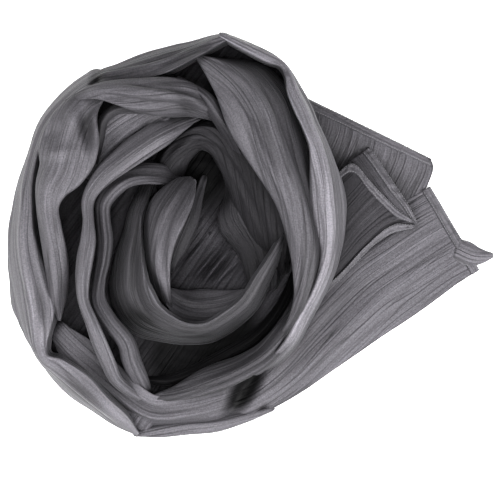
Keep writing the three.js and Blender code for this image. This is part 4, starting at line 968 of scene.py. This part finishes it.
def chiffon(name, colour, lines=1.0, shine=1.0):
    """Fine crinkled chiffon: thin lengthwise creases along the cloth, crepe grain and a close weave, with
    painted shade in its colour.
    """
    material, nodes, links, shader = new_material(name, 0.55)
    shader.inputs["Specular IOR Level"].default_value = 0.15 * shine
    shader.inputs["Sheen Weight"].default_value = 0.06 * shine
    shader.inputs["Sheen Roughness"].default_value = 0.45
    shader.inputs["Sheen Tint"].default_value = (0.85, 0.84, 0.9, 1)

    flow = nodes.new("ShaderNodeAttribute")
    flow.attribute_name = "flow"
    # the shade painted into each point's colour
    painted_shade = nodes.new("ShaderNodeAttribute")
    painted_shade.attribute_name = "painted_shade"
    place = nodes.new("ShaderNodeTexCoord")

    def pattern(source, scale, detail):
        stretch = nodes.new("ShaderNodeVectorMath")
        stretch.operation = "MULTIPLY"
        stretch.inputs[1].default_value = scale
        links.new(source, stretch.inputs[0])
        texture = nodes.new("ShaderNodeTexNoise")
        texture.inputs["Scale"].default_value = 1.0
        texture.inputs["Detail"].default_value = detail
        texture.inputs["Roughness"].default_value = 0.6
        links.new(stretch.outputs[0], texture.inputs["Vector"])
        return texture.outputs["Fac"]

    def on_cloth(long, wide, detail):
        """A pattern of so many millimetres along and across the cloth."""
        return pattern(flow.outputs["Vector"], (1 / long, 1 / wide, 1), detail)

    def combined(operation, *values):
        node = nodes.new("ShaderNodeMath")
        node.operation = operation
        for socket, value in zip(node.inputs, values):
            if isinstance(value, (int, float)):
                socket.default_value = value
            else:
                links.new(value, socket)
        return node.outputs[0]

    def ranged(value, low, high, to_low=0.0, to_high=1.0):
        node = nodes.new("ShaderNodeMapRange")
        for socket, number in zip(("From Min", "From Max", "To Min", "To Max"), (low, high, to_low, to_high)):
            node.inputs[socket].default_value = number
        links.new(value, node.inputs["Value"])
        return node.outputs[0]

    def thin_creases(value, wide):
        """Thin dark lines where a pattern crosses its middle."""
        return ranged(combined("ABSOLUTE", combined("SUBTRACT", value, 0.5)), 0.0, wide)

    streaks = on_cloth(110, 3.0, 2)
    close = on_cloth(70, 1.3, 1)
    creases = thin_creases(on_cloth(190, 6.5, 1), 0.045)
    hairs = thin_creases(on_cloth(130, 3.4, 1), 0.05)
    grain = pattern(place.outputs["Object"], (950, 950, 950), 1)
    weave = on_cloth(0.5, 0.3, 0)

    height = combined("MULTIPLY", streaks, 1.0 * lines)
    for value, weight in ((close, 0.45 * lines), (creases, 0.80 * lines), (hairs, 0.40 * lines),
                          (grain, 0.30), (weave, 0.10)):
        height = combined("MULTIPLY_ADD", value, weight, height)
    bump = nodes.new("ShaderNodeBump")
    bump.inputs["Strength"].default_value = 1.0
    bump.inputs["Distance"].default_value = 0.00042
    links.new(height, bump.inputs["Height"])
    links.new(bump.outputs[0], shader.inputs["Normal"])

    # Colour: random streaks, close pattern and grain, darkened along the crease and hair lines as painted
    # shade, and by each point's painted shade.
    tone = ranged(streaks, 0.3, 0.7, 0.80, 1.20)
    for factor in (ranged(close, 0.3, 0.7, 0.93, 1.07), ranged(grain, 0.3, 0.7, 0.74, 1.26),
                   ranged(creases, 0.0, 1.0, 0.58, 1.0), ranged(hairs, 0.0, 1.0, 0.74, 1.0),
                   painted_shade.outputs["Fac"]):
        tone = combined("MULTIPLY", tone, factor)
    dye = nodes.new("ShaderNodeVectorMath")
    dye.operation = "SCALE"
    dye.inputs[0].default_value = colour
    links.new(tone, dye.inputs["Scale"])
    links.new(dye.outputs[0], shader.inputs["Base Color"])
    return material


def thread(name, colour):
    """Sewing thread: light and dark bands along a fine twist, painted light and shade of its plies, and a
    slightly brighter finish than the cloth.
    """
    material, nodes, links, shader = new_material(name, 0.45)
    place = nodes.new("ShaderNodeTexCoord")
    # painted light and shade in bands along the twist
    twist = nodes.new("ShaderNodeTexWave")
    twist.inputs["Scale"].default_value = 900
    twist.inputs["Distortion"].default_value = 0.6
    links.new(place.outputs["Object"], twist.inputs["Vector"])
    mix = nodes.new("ShaderNodeMix")
    mix.data_type = "RGBA"
    links.new(twist.outputs["Fac"], mix.inputs["Factor"])
    mix.inputs["A"].default_value = (*dyed(colour, 0.75), 1)
    mix.inputs["B"].default_value = (*dyed(colour, 1.15), 1)
    links.new(mix.outputs["Result"], shader.inputs["Base Color"])
    return material


def dyed(colour, tone):
    """A colour made lighter or darker."""
    return [c * tone for c in colour]


# ---- the pieces ----

pieces, grids, cloths = {}, {}, {}
for seed, name in enumerate(STRETCHES, 11):
    grids[name] = stretch_grid(name, seed)
for seed, name in enumerate(PANELS, 51):
    grids[name] = panel_grid(name, seed)
base, base_flow, base_rim = base_grid(71)
HEIGHTS = height_map([base, *(grid for grid, flow in grids.values())])
# Painted light and shade: each painted tone gets its own lighter or darker copy of the chiffon, its gloss
# falling with it.
for name, (grid, flow) in grids.items():
    tone = PAINTED_TONE.get(name, 1)
    shine = SHINE.get(name, min(tone, 1) ** SHINE_FALLS)
    if (tone, shine) not in cloths:
        label = f"crinkle_chiffon_{round(100 * tone)}_{round(100 * shine)}"
        cloths[tone, shine] = chiffon(label, dyed(GREY, tone), 1, shine)
    pieces[name] = shell(name, grid, flow, cloths[tone, shine])
deep_cloth = chiffon("crinkle_chiffon_deep", GREY, 1, DEEP_SHINE)
pieces["base_layers"] = base_object(base, base_flow, base_rim, deep_cloth)

hem_cloth = chiffon("hem_chiffon", dyed(GREY, HEM_TONE), HEM_LINES)
sewing = thread("sewing_thread", THREAD_GREY)
sewn = {}
for seed, (name, on, side, puckered) in enumerate(HEMS, 81):
    top, up, flow = hem_face(grids[on][0], side, puckered, seed)
    pieces[name] = shell(name, top, flow, hem_cloth, HEM_WALL * HEM_THICK_SHARE)
    seams = [(top[k] + up[k] * STITCH_PROUD, up[k]) for k in SEAM_PARTS]
    stitches = stitch_object(name + "_stitches", seams, sewing)
    sewn.setdefault(on, []).extend([pieces[name], stitches])
    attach(stitches, "root")

for name, piece in pieces.items():
    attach(piece, "root")
    if name != "strand":
        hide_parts(name)


# ---- floor, light and camera, in metres ----

FLOOR_REACH = 3
LIGHT_AWAY, LIGHT_SIZE = 1.6, 0.9
# Light columns: name, turn from +X and height in degrees, power.
LIGHTS = [
    ("key_right", 325, 38, 66),
    ("key_left", 252, 38, 24),
    ("back_fill", 100, 48, 9),
    ("left_fill", 185, 40, 30),
    ("top_fill", 290, 80, 16),
]
WORLD_LIGHT = 0.13
FRAME_WIDTH = 0.375  # of the part's plane that the picture spans
CAMERA_PLACE = (0, -0.0106, 2)
SENSOR = 36  # millimetres, as the lens is


def add_floor():
    """A wide pale floor."""
    mesh = bpy.data.meshes.new("floor")
    corners = [(FLOOR_REACH * x, FLOOR_REACH * y, 0) for x, y in ((-1, -1), (1, -1), (1, 1), (-1, 1))]
    mesh.from_pydata(corners, [], [(0, 1, 2, 3)])
    material, _, _, shader = new_material("pale_floor", 0.9)
    shader.inputs["Base Color"].default_value = (0.9, 0.9, 0.9, 1)
    shader.inputs["Emission Color"].default_value = (1, 1, 1, 1)
    shader.inputs["Emission Strength"].default_value = 0.6
    mesh.materials.append(material)
    linked("floor", mesh)


def add_softbox(name, turn, height, power):
    """A round soft light that faces the part's foot."""
    light = bpy.data.lights.new(name, "AREA")
    light.shape = "DISK"
    light.size = LIGHT_SIZE
    light.energy = power
    softbox = linked(name, light)
    turn, height = math.radians(turn), math.radians(height)
    way = (math.cos(turn) * math.cos(height), math.sin(turn) * math.cos(height), math.sin(height))
    softbox.location = [LIGHT_AWAY * v for v in way]
    softbox.rotation_mode = "QUATERNION"
    softbox.rotation_quaternion = (-Vector(way)).to_track_quat("-Z", "Y")


def add_world():
    """An even white surrounding light."""
    world = bpy.data.worlds.new("studio")
    bpy.context.scene.world = world
    world.use_nodes = True
    background = world.node_tree.nodes["Background"]
    background.inputs[0].default_value = (1, 1, 1, 1)
    background.inputs[1].default_value = WORLD_LIGHT


def add_camera():
    """A camera that looks straight down, as the photograph's did."""
    lens = bpy.data.cameras.new("camera")
    lens.sensor_width = SENSOR
    lens.lens = SENSOR * CAMERA_PLACE[2] / FRAME_WIDTH
    lens.clip_start = 0.05
    lens.clip_end = 20
    camera = linked("camera", lens)
    camera.location = CAMERA_PLACE
    bpy.context.scene.camera = camera


add_floor()
for light in LIGHTS:
    add_softbox(*light)
add_world()
add_camera()
bpy.context.scene.view_settings.view_transform = "Standard"
